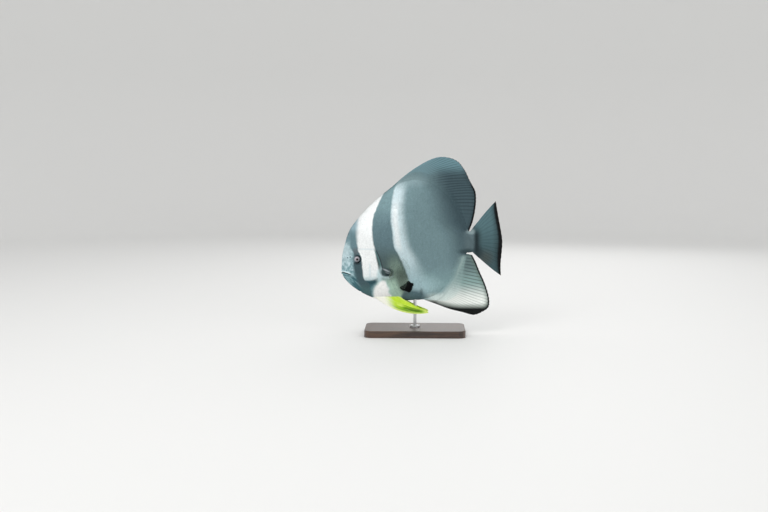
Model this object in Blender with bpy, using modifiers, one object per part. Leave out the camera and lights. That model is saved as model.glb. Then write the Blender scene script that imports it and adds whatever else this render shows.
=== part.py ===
"""Teira batfish at life size, swimming, held on a plain display stand.

Metres, +Z up. The fish looks along -X, its left side faces -Y, and the origin is on the floor
below the middle of the whole model. Landmark lists are in millimetres, (x, z) or (x, y, z).
"""

import math

import bmesh
import bpy
import numpy as np
from mathutils import Matrix, Vector

MM = 0.001
GAP = 0.3 * MM  # between nodes that touch

# The flesh of the body, without fins, from the upper lip over the back to the tail and along the belly.
BODY_OUTLINE = [
    (-208.5, 168), (-207.6, 187), (-206.4, 205), (-199.4, 235), (-188.2, 268), (-170.8, 294),
    (-147.4, 321), (-121.4, 346), (-92.8, 370.5), (-66.8, 389.5), (-40.8, 400), (-12.2, 403),
    (19.0, 396), (47.6, 378), (73.6, 351), (94.4, 318), (108.7, 287), (118.5, 270),
    (128.0, 267), (136.0, 261), (141.0, 241.5), (136.0, 219), (128.0, 213.5), (115.2, 211),
    (102.2, 190), (87.9, 159),
    (68.4, 129), (42.4, 105), (13.8, 93), (-20.0, 89), (-56.4, 88), (-92.8, 88),
    (-126.6, 95), (-155.2, 108), (-181.2, 125), (-199.2, 143), (-206.6, 156),
]
SAMPLES_PER_LANDMARK = 3
BODY_RINGS = 20  # rings of the sphere that is pressed into the body
THICKEST_AT = (-61.6 * MM, 226 * MM)  # behind the gill cover
HALF_WIDTH = 33 * MM
# (power of the distance, power of what is left) of the cross-section towards each side.
FALL_FRONT, FALL_REAR, FALL_TOP, FALL_BELLY = (1.9, 0.62), (1.5, 1.05), (1.7, 0.84), (2.2, 0.6)
RIM_HALF_WIDTH, RIM_POWER = 2.9 * MM, 40  # the scaly rim that carries the fins
STEM_HALF_WIDTH, STEM_POWER = 7.5 * MM, 10
STEM_MIDDLE_Z, STEM_HALF_HEIGHT = 241.5 * MM, 31 * MM
STEM_FADE = (10 * MM, 118 * MM)
STEM_WINDOW = (math.radians(-13), math.radians(21))  # where the stem leaves the oval of the flank
SWAY_FROM, SWAY_RADIUS = 40 * MM, 600 * MM  # the tail swings to the fish's right

# Where the body is parted: behind the gill cover, and in front of the tail stem.
GILL_LINE = [
    (-92, 400), (-112, 330), (-122, 280), (-123, 243), (-117, 216), (-110, 191), (-107, 168),
    (-111, 147), (-125, 130), (-147, 114.5), (-172, 92),
]
STEM_CUT_X = 114 * MM
CUT_DEPTH = 80 * MM  # of a cutter to each side, more than the body is wide

GILL_COVER = [
    (-140.6, 218.6), (-128.7, 224.5), (-118.6, 210.6), (-111.5, 189), (-108.9, 168), (-112.8, 150),
    (-126.7, 134.4), (-142.5, 135.4), (-148.5, 155), (-147.5, 189),
]
COVER_FRONT_X, COVER_REAR_X = -149 * MM, -111 * MM
COVER_PROUD, COVER_DEPTH = 1.9 * MM, 2.6 * MM  # it stands proud along its rear margin only

EYE_AT = (-166 * MM, 197 * MM)
EYE_RADIUS, EYE_HALF_DEPTH, EYE_SINK = 12 * MM, 7.4 * MM, 4.9 * MM
# Rounded places of the head: x, z, reach and height. They end at the rim of the body.
SWELLS = [(-166, 197, 19, 1.6), (-201, 160, 19, 3.2)]
SWELL_POWER = 40

MOUTH_TIP, MOUTH_CORNER = (-205.2, 0, 161.2), (-183.4, 0, 155.6)
MOUTH_HALF_WIDTH = 12.8 * MM
LIP_RADIUS, LOWER_LIP_RADIUS = 3.5 * MM, 3.0 * MM
LIP_SPREAD = 2.7 * MM  # of each lip's middle from the line of the mouth
LIP_SPREAD_AT_CORNER, LIP_SIZE_AT_CORNER = 0.35, 0.45  # as shares of those at the tip
MOUTH_OPEN_FRONT, MOUTH_OPEN_CORNER = 2.4 * MM, 0.5 * MM
MOUTH_CUT_AHEAD, MOUTH_CUT_WIDTH = 0.5, 1.5  # how far it reaches past the tip and the lips, as shares
MOUTH_CORE = (11 * MM, 7.5 * MM, 6 * MM)  # what stays closed between the jaws, as three radii
LIP_STEPS = 14
NOSTRILS = [(-191.5, 200, 1.5), (-184.5, 202, 1.8)]  # x, z and radius
NOSTRIL_DEPTH = 3 * MM

# Each fin is a row of rays, (base x, base z, tip x, tip z), from its front to its rear.
DORSAL_RAYS = [
    (-80, 378, -71, 388), (-68, 387, -56, 402), (-60, 391.5, -36, 418), (-53, 395, -8, 437),
    (-47, 398, 22, 453), (-42, 399.5, 48, 459.8), (-36, 400.5, 75, 456.5), (-28, 401.5, 94, 446.7),
    (-14, 402, 106, 432), (2, 400.5, 113, 421), (20, 393, 122.7, 400.4), (44, 378, 130, 387),
    (58, 366, 138, 371), (72, 350, 140, 351), (86, 330.5, 138.5, 329), (98, 308, 134.5, 305),
    (108, 288.5, 129.5, 287), (119, 268.5, 122, 269),
]
ANAL_RAYS = [
    (6, 92.5, 9, 89), (18, 96, 40, 78), (27, 99, 74, 65.5), (36, 102, 107, 57), (44, 105.5, 136, 49.5),
    (52, 111, 158, 56.5), (59, 117, 174.6, 68.5), (67, 126, 176.8, 88.4), (76, 139, 171.5, 112),
    (85, 155, 162.5, 137), (94, 174, 151, 162), (103, 192, 141, 186.5), (112, 210.5, 131, 206),
]
CAUDAL_RAYS = [
    (127, 266.5, 191.5, 345), (131, 262, 194.5, 328), (132.5, 255.5, 199.5, 300.5),
    (133.5, 248, 206, 268), (134, 241.5, 209.8, 240.5), (133.5, 235, 208.6, 213),
    (132.5, 227.5, 206.2, 187.5), (131.5, 221, 206, 168), (131, 217, 207, 151.5),
]
# The paired fins, on the fish's left: (base x, y, z, tip x, y, z). The right ones mirror them.
PECTORAL_RAYS = [
    (-85, -29.3, 173.5, -48, -44, 204.5), (-82, -30, 169.5, -35, -48, 190),
    (-79.5, -30.4, 165, -28, -51, 169), (-79, -30.2, 160.5, -32, -52, 145),
    (-80.5, -29.4, 156.5, -44, -50, 123), (-83.5, -28.2, 153, -63, -45, 109.5),
]
PELVIC_RAYS = [
    (-117, -8.5, 94, 17.7, -17, 58), (-106, -9.5, 94.5, 17.5, -16.5, 60.5),
    (-93, -10, 95.5, 9, -15.5, 65), (-80, -10, 96.5, -4, -14, 70),
    (-68, -10, 98, -19, -12.5, 77), (-57, -10, 99.5, -37, -11, 86.5),
]
WEB_LEAST = 0.7 * MM  # thickness between the rays
THINNING_POWER = 0.7  # of a fin from its root to its margin

ROD_X, ROD_RADIUS = -17 * MM, 4 * MM
ROD_FOOT_RADIUS, ROD_FOOT_HEIGHT = 13 * MM, 5 * MM
ROD_FILLET, ROD_FOOT_EDGE, ROD_SIDES = 2 * MM, 1 * MM, 24
ROD_TOP_Z = 110 * MM  # inside the belly, which then cuts the rod
BASE_LENGTH, BASE_WIDTH, BASE_HEIGHT, BASE_CORNER = 0.26, 0.14, 18 * MM, 20 * MM
BASE_EDGE = 2.5 * MM


# ------------------------------------------------------------------ scene and mesh helpers

def clear_scene():
    for old in list(bpy.data.objects):
        bpy.data.objects.remove(old, do_unlink=True)
    for old in list(bpy.data.meshes):
        bpy.data.meshes.remove(old)


def new_collection(name):
    made = bpy.data.collections.new(name)
    bpy.context.scene.collection.children.link(made)
    return made


def material(name, colour, roughness, metallic=0.0):
    made = bpy.data.materials.new(name)
    made.use_nodes = True
    shader = made.node_tree.nodes["Principled BSDF"]
    shader.inputs["Base Color"].default_value = (*colour, 1)
    shader.inputs["Roughness"].default_value = roughness
    shader.inputs["Metallic"].default_value = metallic
    made.diffuse_color = (*colour, 1)
    return made


def helper(name, mesh):
    """A cutter, or a piece that is still being worked on."""
    made = bpy.data.objects.new(name, mesh)
    cutters.objects.link(made)
    made.hide_render = True
    made.display_type = "WIRE"
    return made


def finished(name, mesh, look):
    """A node of the fish or of its stand."""
    made = bpy.data.objects.new(name, mesh)
    fish.objects.link(made)
    mesh.name = name
    mesh.materials.clear()
    mesh.materials.append(look)
    mesh.shade_smooth()
    mesh.set_sharp_from_angle(angle=math.radians(50))
    return made


def mesh_of(obj):
    """A new mesh of the object with its modifiers applied. The object is removed."""
    graph = bpy.context.evaluated_depsgraph_get()
    graph.update()
    made = bpy.data.meshes.new_from_object(obj.evaluated_get(graph))
    made.transform(obj.matrix_world)
    bpy.data.objects.remove(obj)
    return made


def mesh_from(bm):
    made = bpy.data.meshes.new("shape")
    bm.to_mesh(made)
    bm.free()
    return made


def boolean(mesh, other, operation):
    """The mesh joined with, cut by, or limited to the other one."""
    target, tool = helper("target", mesh), helper("tool", other)
    step = target.modifiers.new(operation, "BOOLEAN")
    step.operation = operation
    step.solver = "EXACT"
    step.object = tool
    made = mesh_of(target)
    bpy.data.objects.remove(tool)
    return made


def joined(mesh, others):
    """One Boolean union of the mesh and a collection of closed pieces."""
    pieces = new_collection("pieces")
    for other in others:
        pieces.objects.link(bpy.data.objects.new("piece", other))
    target = helper("target", mesh)
    step = target.modifiers.new("join", "BOOLEAN")
    step.operation = "UNION"
    step.solver = "EXACT"
    step.operand_type = "COLLECTION"
    step.collection = pieces
    made = mesh_of(target)
    for piece in list(pieces.objects):
        bpy.data.objects.remove(piece)
    bpy.data.collections.remove(pieces)
    return made


def closed_pieces(mesh):
    """The separate closed surfaces of a mesh, the largest first."""
    bm = bmesh.new()
    bm.from_mesh(mesh)
    bmesh.ops.triangulate(bm, faces=bm.faces)
    bmesh.ops.dissolve_degenerate(bm, dist=1e-7, edges=bm.edges)
    bmesh.ops.triangulate(bm, faces=bm.faces)
    bm.faces.index_update()
    unseen, groups = set(bm.faces), []
    while unseen:
        group, edge_of_search = set(), [unseen.pop()]
        while edge_of_search:
            face = edge_of_search.pop()
            group.add(face)
            for edge in face.edges:
                for near in edge.link_faces:
                    if near in unseen:
                        unseen.remove(near)
                        edge_of_search.append(near)
        groups.append(sorted(group, key=lambda f: f.index))
    made = []
    for group in groups:
        part = bmesh.new()
        corner = {}
        for face in group:
            for vert in face.verts:
                if vert not in corner:
                    corner[vert] = part.verts.new(vert.co)
            part.faces.new([corner[vert] for vert in face.verts])
        made.append((part.calc_volume(), mesh_from(part)))
    bm.free()
    made.sort(key=lambda pair: -pair[0])
    return [piece for _, piece in made]


def largest(mesh):
    return closed_pieces(mesh)[0]


def copied(mesh, grown=0.0):
    """A copy of the mesh, each point moved out along its normal, by a length or a function of x."""
    bm = bmesh.new()
    bm.from_mesh(mesh)
    bm.normal_update()
    for vert in bm.verts:
        vert.co += vert.normal * (grown(vert.co.x) if callable(grown) else grown)
    return mesh_from(bm)


def mirrored(mesh):
    """The mesh on the other side of the fish."""
    bm = bmesh.new()
    bm.from_mesh(mesh)
    for vert in bm.verts:
        vert.co.y = -vert.co.y
    bmesh.ops.reverse_faces(bm, faces=bm.faces)
    return mesh_from(bm)


def ellipsoid(centre, radii, segments, rings):
    """A sphere pressed to three radii, with its poles to the fish's left and right."""
    bm = bmesh.new()
    bmesh.ops.create_uvsphere(bm, u_segments=segments, v_segments=rings, radius=1)
    for vert in bm.verts:
        x, y, z = vert.co
        vert.co = Vector(centre) + Vector((x * radii[0], z * radii[1], -y * radii[2]))
    return mesh_from(bm)


def spline_points(points, per_span, closed=False):
    """A smooth line through the points (Catmull-Rom), with per_span steps between each two."""
    at = np.array(points, float)
    count = len(at)
    made = []
    for i in range(count if closed else count - 1):
        near = [i - 1, i, i + 1, i + 2]
        four = [at[k % count] if closed else at[min(max(k, 0), count - 1)] for k in near]
        for step in range(per_span):
            made.append(between(four, step / per_span))
    if not closed:
        made.append(at[-1])
    return np.array(made)


def between(four, t):
    a, b, c, d = four
    return 0.5 * (2 * b + (c - a) * t + (2 * a - 5 * b + 4 * c - d) * t**2 + (3 * b - a - 3 * c + d) * t**3)


def sway(x):
    """How far the body's middle lies to the fish's right at x, as the tail swings."""
    return max(0.0, x - SWAY_FROM) ** 2 / (2 * SWAY_RADIUS)


# ------------------------------------------------------------------ the body

OUTLINE = spline_points(BODY_OUTLINE, SAMPLES_PER_LANDMARK, closed=True) * MM


def outline_round_middle():
    """The outline as angles round the thickest place and distances from it, and where it is off the stem."""
    away = OUTLINE - THICKEST_AT
    angles = np.arctan2(away[:, 1], away[:, 0])
    order = np.argsort(angles)
    angles = angles[order]
    off_stem = (angles < STEM_WINDOW[0]) | (angles > STEM_WINDOW[1])
    return angles, np.hypot(away[:, 0], away[:, 1])[order], off_stem


ANGLES, REACH, OFF_STEM = outline_round_middle()


def shares_out(x, z):
    """How far out a point lies towards the outline, and towards the oval of the flank, as shares."""
    dx, dz = x - THICKEST_AT[0], z - THICKEST_AT[1]
    far, angle = math.hypot(dx, dz), math.atan2(dz, dx)
    whole = np.interp(angle, ANGLES, REACH, period=2 * math.pi)
    flank = np.interp(angle, ANGLES[OFF_STEM], REACH[OFF_STEM], period=2 * math.pi)
    return min(1.0, far / float(whole)), min(1.0, far / float(flank))


def smooth_step(value, low, high):
    t = min(1.0, max(0.0, (value - low) / (high - low)))
    return t * t * (3 - 2 * t)


def half_thickness(x, z):
    """Half the body's width at a point of its side view."""
    share, flank_share = shares_out(x, z)
    dx, dz = x - THICKEST_AT[0], z - THICKEST_AT[1]
    length = max(math.hypot(dx, dz), 1e-9)
    ways = (max(0, -dx) / length, max(0, dx) / length, max(0, dz) / length, max(0, -dz) / length)
    falls = (FALL_FRONT, FALL_REAR, FALL_TOP, FALL_BELLY)
    power, left = (sum(way**2 * fall[k] for way, fall in zip(ways, falls)) for k in (0, 1))
    flank = HALF_WIDTH * (1 - flank_share**power) ** left
    height = max(0.0, 1 - ((z - STEM_MIDDLE_Z) / STEM_HALF_HEIGHT) ** 2)
    stem = STEM_HALF_WIDTH * math.sqrt(height * (1 - share**STEM_POWER)) * smooth_step(x, *STEM_FADE)
    rim = RIM_HALF_WIDTH * math.sqrt(1 - share**RIM_POWER)
    swell = 0.0
    for at_x, at_z, reach, height in SWELLS:
        swell += height * MM * math.exp(-(math.hypot(x / MM - at_x, z / MM - at_z) / reach) ** 2)
    return math.sqrt(flank**2 + stem**2 + rim**2) + swell * math.sqrt(1 - share**SWELL_POWER)


def body_mesh():
    """A sphere with its poles at the two flanks, pressed out to the outline."""
    count = len(OUTLINE)
    bm = bmesh.new()
    bmesh.ops.create_uvsphere(bm, u_segments=count, v_segments=BODY_RINGS, radius=1)
    for vert in bm.verts:
        turn = math.atan2(vert.co.y, vert.co.x) / (2 * math.pi) * count
        share = min(1.0, math.hypot(vert.co.x, vert.co.y))
        edge = OUTLINE[round(turn) % count]
        x, z = np.array(THICKEST_AT) + share * (edge - THICKEST_AT)
        side = 0 if abs(vert.co.z) < 1e-6 else math.copysign(1, vert.co.z)
        vert.co = (x, side * half_thickness(x, z) + sway(x), z)
    return mesh_from(bm)


def thin_cut(line):
    """A sheet one gap thick that stands on a line of the side view and goes right through the body."""
    data = bpy.data.curves.new("cut", "CURVE")
    data.dimensions = "2D"
    data.extrude = CUT_DEPTH
    points = spline_points(line, 3) * MM
    spline = data.splines.new("POLY")
    spline.points.add(len(points) - 1)
    for point, (x, z) in zip(spline.points, points):
        point.co = (x, z, 0, 1)
    sheet = helper("sheet", data)
    sheet.rotation_euler.x = math.radians(90)
    bpy.context.view_layer.update()
    solid = helper("sheet_solid", mesh_of(sheet))
    thick = solid.modifiers.new("thick", "SOLIDIFY")
    thick.thickness = GAP
    thick.offset = 0
    return mesh_of(solid)


def prism(outline, grown=0.0):
    """A closed outline of the side view as a solid right through the body."""
    points = spline_points(outline, 3, closed=True) * MM
    ahead, behind = np.roll(points, -1, 0), np.roll(points, 1, 0)
    along = ahead - behind
    normal = np.stack([along[:, 1], -along[:, 0]], 1) / np.hypot(along[:, 0], along[:, 1])[:, None]
    area = np.sum(points[:, 0] * ahead[:, 1] - ahead[:, 0] * points[:, 1])
    points = points + normal * grown * np.sign(area)
    data = bpy.data.curves.new("prism", "CURVE")
    data.dimensions = "2D"
    data.fill_mode = "BOTH"
    data.extrude = CUT_DEPTH
    spline = data.splines.new("POLY")
    spline.use_cyclic_u = True
    spline.points.add(len(points) - 1)
    for point, (x, z) in zip(spline.points, points):
        point.co = (x, z, 0, 1)
    solid = helper("prism", data)
    solid.rotation_euler.x = math.radians(90)
    bpy.context.view_layer.update()
    mesh = mesh_of(solid)
    bm = bmesh.new()
    bm.from_mesh(mesh)
    bmesh.ops.remove_doubles(bm, verts=bm.verts, dist=1e-6)
    bmesh.ops.recalc_face_normals(bm, faces=bm.faces)
    return mesh_from(bm)


def lip(radius, side):
    """A roll of flesh along the edge of the mouth, thinner towards the corners."""
    tip, corner = Vector(MOUTH_TIP) * MM, Vector(MOUTH_CORNER) * MM
    data = bpy.data.curves.new("lip", "CURVE")
    data.dimensions = "3D"
    data.bevel_depth = radius
    data.bevel_resolution = 2
    data.use_fill_caps = True
    spline = data.splines.new("POLY")
    spline.points.add(LIP_STEPS)
    for k, point in enumerate(spline.points):
        turn = math.pi * (k / LIP_STEPS - 0.5)
        at = corner.lerp(tip, math.cos(turn))
        at.y = MOUTH_HALF_WIDTH * math.sin(turn)
        ahead = math.cos(turn)
        at.z += side * LIP_SPREAD * (LIP_SPREAD_AT_CORNER + (1 - LIP_SPREAD_AT_CORNER) * ahead)
        point.co = (*at, 1)
        point.radius = LIP_SIZE_AT_CORNER + (1 - LIP_SIZE_AT_CORNER) * ahead
    mesh = mesh_of(helper("lip", data))
    bm = bmesh.new()
    bm.from_mesh(mesh)
    bmesh.ops.remove_doubles(bm, verts=bm.verts, dist=1e-6)
    bmesh.ops.recalc_face_normals(bm, faces=bm.faces)
    return mesh_from(bm)


def mouth_slit():
    """A wedge between the lips, open to the front, around a core that stays closed."""
    tip, corner = Vector(MOUTH_TIP) * MM, Vector(MOUTH_CORNER) * MM
    ahead = tip + (tip - corner) * MOUTH_CUT_AHEAD
    bm = bmesh.new()
    bmesh.ops.create_cube(bm, size=2)
    for vert in bm.verts:
        at, opening = (ahead, MOUTH_OPEN_FRONT) if vert.co.x < 0 else (corner, MOUTH_OPEN_CORNER)
        vert.co = (at.x, vert.co.y * MOUTH_HALF_WIDTH * MOUTH_CUT_WIDTH, at.z + vert.co.z * opening / 2)
    core = ellipsoid(corner, MOUTH_CORE, segments=16, rings=10)
    return boolean(mesh_from(bm), core, "DIFFERENCE")


def eye(side, grown=0.0):
    x, z = EYE_AT
    y = side * (half_thickness(x, z) - EYE_SINK)
    radii = (EYE_RADIUS + grown, EYE_HALF_DEPTH + grown, EYE_RADIUS + grown)
    return ellipsoid((x, y, z), radii, segments=22, rings=12)


def build_body():
    whole = body_mesh()
    cut = boolean(copied(whole), thin_cut(GILL_LINE), "DIFFERENCE")
    stem_line = [(STEM_CUT_X / MM, 100), (STEM_CUT_X / MM, 200), (STEM_CUT_X / MM, 380)]
    cut = boolean(cut, thin_cut(stem_line), "DIFFERENCE")
    three = closed_pieces(cut)[:3]
    head, trunk, stem = sorted(three, key=lambda m: sum(v.co.x for v in m.vertices) / len(m.vertices))

    head = joined(head, [lip(LIP_RADIUS, 1), lip(LOWER_LIP_RADIUS, -1)])
    head = boolean(head, mouth_slit(), "DIFFERENCE")
    pocket = boolean(prism(GILL_COVER, GAP), copied(whole, -COVER_DEPTH - GAP), "DIFFERENCE")
    head = boolean(head, pocket, "DIFFERENCE")
    for side in (-1, 1):
        head = boolean(head, eye(side, GAP), "DIFFERENCE")
        for x, z, radius in NOSTRILS:
            y = side * half_thickness(x * MM, z * MM)
            radii = (radius * MM, NOSTRIL_DEPTH, radius * MM)
            hole = ellipsoid((x * MM, y, z * MM), radii, segments=10, rings=8)
            head = boolean(head, hole, "DIFFERENCE")

    def proud(x):
        return COVER_PROUD * smooth_step(x, COVER_FRONT_X, COVER_REAR_X)

    plates = boolean(prism(GILL_COVER), copied(whole, proud), "INTERSECT")
    plates = boolean(plates, copied(whole, -COVER_DEPTH), "DIFFERENCE")
    cover_left, cover_right = sorted(closed_pieces(plates)[:2], key=lambda m: m.vertices[0].co.y)

    finished("head", largest(head), skin)
    finished("gill_cover_left", cover_left, skin)
    finished("gill_cover_right", cover_right, skin)
    finished("trunk", trunk, skin)
    finished("tail_stem", stem, skin)
    for name, side in (("eye_left", -1), ("eye_right", 1)):
        finished(name, eye(side), eyes)
    return whole


# ------------------------------------------------------------------ the fins

def fin_blade(rays, count, rows, root, edge, embed, bows, web=0.45, scallop=0.014, swaying=True):
    """A web with its rays raised on both faces.

    rays is the list of (base, tip) landmarks, count the number of raised rays and rows the steps
    along each. root and edge are the thickness at the body and at the margin, embed how far the
    web goes on into the body, and bows how far the first and the last ray arch, as shares of
    their lengths.
    """
    width = len(rays[0]) // 2
    table = spline_points(rays, 8) * MM
    spots = np.linspace(0, len(table) - 1, 2 * count - 1)
    first_bow, last_bow = [Vector(bow) for bow in bows]
    bm = bmesh.new()
    bmesh.ops.create_grid(bm, x_segments=2 * count - 2, y_segments=rows, size=0.5)
    share_of = {}
    for vert in bm.verts:
        column = round((vert.co.x + 0.5) * (2 * count - 2))
        row = round((vert.co.y + 0.5) * rows)
        numbers = [float(np.interp(spots[column], range(len(table)), table[:, k])) for k in range(2 * width)]
        base, tip = Vector(numbers[:width]), Vector(numbers[width:])
        if width == 2:
            base, tip = Vector((base.x, 0, base.y)), Vector((tip.x, 0, tip.y))
        between_rays = column % 2
        along = (row - 1) / (rows - 1)
        length = (tip - base).length
        if row == 0:
            at = base - (tip - base) / length * embed
            along = 0
        else:
            reach = 1 - scallop * between_rays
            bow = first_bow.lerp(last_bow, column / (2 * count - 2))
            at = base.lerp(tip, along * reach) + bow * (4 * along * (1 - along) * length)
        if swaying:
            at.y += sway(at.x)
        thickness = root + (edge - root) * along**THINNING_POWER
        if between_rays:
            thickness = max(WEB_LEAST, thickness * (web + (1 - web) * (1 - along) ** 3))
        vert.co = at
        share_of[vert.index] = thickness / root
    bmesh.ops.triangulate(bm, faces=bm.faces)
    blade = helper("blade", mesh_from(bm))
    group = blade.vertex_groups.new(name="thickness")
    for index, share in share_of.items():
        group.add([index], min(1.0, share), "REPLACE")
    thick = blade.modifiers.new("thick", "SOLIDIFY")
    thick.thickness = root
    thick.offset = 0
    thick.vertex_group = "thickness"
    made = mesh_of(blade)
    bm = bmesh.new()
    bm.from_mesh(made)
    bmesh.ops.recalc_face_normals(bm, faces=bm.faces)
    return mesh_from(bm)


def build_fins(whole):
    around = copied(whole, GAP)

    def rooted(blade):
        return largest(boolean(blade, copied(around), "DIFFERENCE"))

    dorsal = fin_blade(
        DORSAL_RAYS, count=31, rows=5, root=4.6 * MM, edge=1.3 * MM, embed=12 * MM,
        bows=((0, 0, 0.04), (0, 0, 0.02)),
    )
    finished("dorsal_fin", rooted(dorsal), fin_grey)
    anal = fin_blade(
        ANAL_RAYS, count=25, rows=5, root=4.6 * MM, edge=1.3 * MM, embed=12 * MM,
        bows=((0, 0, -0.02), (0, 0, 0)),
    )
    finished("anal_fin", rooted(anal), fin_pale)
    caudal = fin_blade(
        CAUDAL_RAYS, count=17, rows=5, root=5.6 * MM, edge=1.2 * MM, embed=12 * MM,
        bows=((0, 0, 0.04), (0, 0, -0.03)),
    )
    finished("caudal_fin", rooted(caudal), fin_grey)
    pectoral = fin_blade(
        PECTORAL_RAYS, count=14, rows=5, root=6 * MM, edge=1.0 * MM, embed=8 * MM,
        bows=((0, -0.05, 0), (0, -0.05, 0)), scallop=0.03, swaying=False,
    )
    pelvic = fin_blade(
        PELVIC_RAYS, count=6, rows=7, root=5 * MM, edge=1.1 * MM, embed=9 * MM,
        bows=((0, -0.02, -0.11), (0, -0.02, -0.04)), scallop=0.01, swaying=False,
    )
    for name, blade, look in (("pectoral_fin", pectoral, fin_olive), ("pelvic_fin", pelvic, fin_yellow)):
        left = rooted(blade)
        finished(name + "_left", left, look)
        finished(name + "_right", mirrored(left), look)


# ------------------------------------------------------------------ the stand

def build_stand(whole):
    bm = bmesh.new()
    bmesh.ops.create_cube(bm, size=1)
    for vert in bm.verts:
        vert.co = (vert.co.x * BASE_LENGTH, vert.co.y * BASE_WIDTH, (vert.co.z + 0.5) * BASE_HEIGHT)
    upright = [e for e in bm.edges if abs(e.verts[0].co.z - e.verts[1].co.z) > BASE_HEIGHT / 2]
    bmesh.ops.bevel(bm, geom=upright, offset=BASE_CORNER, segments=8, profile=0.5, affect="EDGES")
    top = [e for e in bm.edges if min(v.co.z for v in e.verts) > BASE_HEIGHT - 1e-6]
    bmesh.ops.bevel(bm, geom=top, offset=BASE_EDGE, segments=3, profile=0.5, affect="EDGES")
    base = mesh_from(bm)
    base.transform(Matrix.Translation((ROD_X, 0, 0)))
    finished("stand_base", base, wood)

    foot_z = BASE_HEIGHT + GAP
    foot_top = foot_z + ROD_FOOT_HEIGHT
    profile = [
        (0, ROD_TOP_Z), (ROD_RADIUS, ROD_TOP_Z), (ROD_RADIUS, foot_top + ROD_FILLET),
        (ROD_RADIUS + ROD_FILLET, foot_top), (ROD_FOOT_RADIUS - ROD_FOOT_EDGE, foot_top),
        (ROD_FOOT_RADIUS, foot_top - ROD_FOOT_EDGE), (ROD_FOOT_RADIUS, foot_z), (0, foot_z),
    ]
    bm = bmesh.new()
    corners = [bm.verts.new((x, 0, z)) for x, z in profile]
    for a, b in zip(corners, corners[1:]):
        bm.edges.new((a, b))
    turned = helper("rod", mesh_from(bm))
    screw = turned.modifiers.new("turn", "SCREW")
    screw.steps = screw.render_steps = ROD_SIDES
    screw.use_merge_vertices = True
    screw.merge_threshold = 0.0001
    rod = mesh_of(turned)
    bm = bmesh.new()
    bm.from_mesh(rod)
    bmesh.ops.remove_doubles(bm, verts=bm.verts, dist=1e-6)
    bmesh.ops.recalc_face_normals(bm, faces=bm.faces)
    rod = mesh_from(bm)
    rod.transform(Matrix.Translation((ROD_X, 0, 0)))
    rod = boolean(rod, copied(whole, GAP), "DIFFERENCE")
    finished("stand_rod", largest(rod), steel)


clear_scene()
fish = new_collection("Batfish")
cutters = new_collection("Cutters")
skin = material("skin", (0.13, 0.27, 0.30), 0.4)
eyes = material("eyes", (0.32, 0.40, 0.42), 0.15)
fin_grey = material("fin_grey", (0.05, 0.13, 0.15), 0.5)
fin_pale = material("fin_pale", (0.45, 0.60, 0.58), 0.5)
fin_olive = material("fin_olive", (0.20, 0.30, 0.22), 0.5)
fin_yellow = material("fin_yellow", (0.40, 0.66, 0.03), 0.45)
wood = material("wood", (0.05, 0.03, 0.02), 0.45)
steel = material("steel", (0.55, 0.56, 0.58), 0.3, 1.0)
flesh = build_body()
build_fins(flesh)
build_stand(flesh)
print("the batfish has", len(fish.objects), "nodes")
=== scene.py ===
import math

import bmesh
import bpy
import numpy as np
from mathutils import Matrix, Vector
from mathutils.bvhtree import BVHTree


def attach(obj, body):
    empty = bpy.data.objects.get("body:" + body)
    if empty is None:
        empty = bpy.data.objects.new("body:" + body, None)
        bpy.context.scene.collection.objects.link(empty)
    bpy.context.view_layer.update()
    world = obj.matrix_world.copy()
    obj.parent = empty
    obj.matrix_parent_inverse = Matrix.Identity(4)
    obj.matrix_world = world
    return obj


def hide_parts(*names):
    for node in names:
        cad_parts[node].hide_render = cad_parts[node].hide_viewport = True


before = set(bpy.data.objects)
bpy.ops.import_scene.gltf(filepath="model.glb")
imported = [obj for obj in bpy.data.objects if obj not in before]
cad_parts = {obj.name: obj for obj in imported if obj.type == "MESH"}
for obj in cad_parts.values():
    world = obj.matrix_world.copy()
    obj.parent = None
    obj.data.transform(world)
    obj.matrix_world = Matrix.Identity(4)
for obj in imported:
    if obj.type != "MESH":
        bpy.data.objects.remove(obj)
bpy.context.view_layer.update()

mm = 0.001  # shapes are worked out in millimetres and become metres in newMesh
fullTurn = 2 * math.pi


# meshes

def newMesh(name, points, faces=(), attributes=None, edges=()):
    made = bpy.data.meshes.new(name)
    made.from_pydata((np.asarray(points) * mm).tolist(), edges, [list(map(int, face)) for face in faces])
    for key, values in (attributes or {}).items():
        values = np.asarray(values, np.float32)
        kind, field = ("FLOAT", "value") if values.ndim == 1 else ("FLOAT_VECTOR", "vector")
        made.attributes.new(key, kind, "POINT").data.foreach_set(field, values.ravel())
    made.update()
    return made


def facedOutward(mesh, merge=0):
    bm = bmesh.new()
    bm.from_mesh(mesh)
    if merge:
        bmesh.ops.remove_doubles(bm, verts=bm.verts, dist=merge)
    bmesh.ops.recalc_face_normals(bm, faces=bm.faces)
    bm.to_mesh(mesh)
    bm.free()
    return mesh


def gridFaces(index):
    return np.stack([index[:-1, :-1], index[1:, :-1], index[1:, 1:], index[:-1, 1:]], -1).reshape(-1, 4)


def newObject(name, data):
    made = bpy.data.objects.new(name, data)
    bpy.context.scene.collection.objects.link(made)
    return made


def newPiece(name, mesh, material, nodes=(), sharp=None):
    mesh.name = name
    mesh.materials.clear()
    mesh.materials.append(material)
    mesh.shade_smooth()
    if sharp:
        mesh.set_sharp_from_angle(angle=math.radians(sharp))
    piece = newObject(name, mesh)
    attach(piece, "root")
    if nodes:
        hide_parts(*nodes)
    return piece


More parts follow.
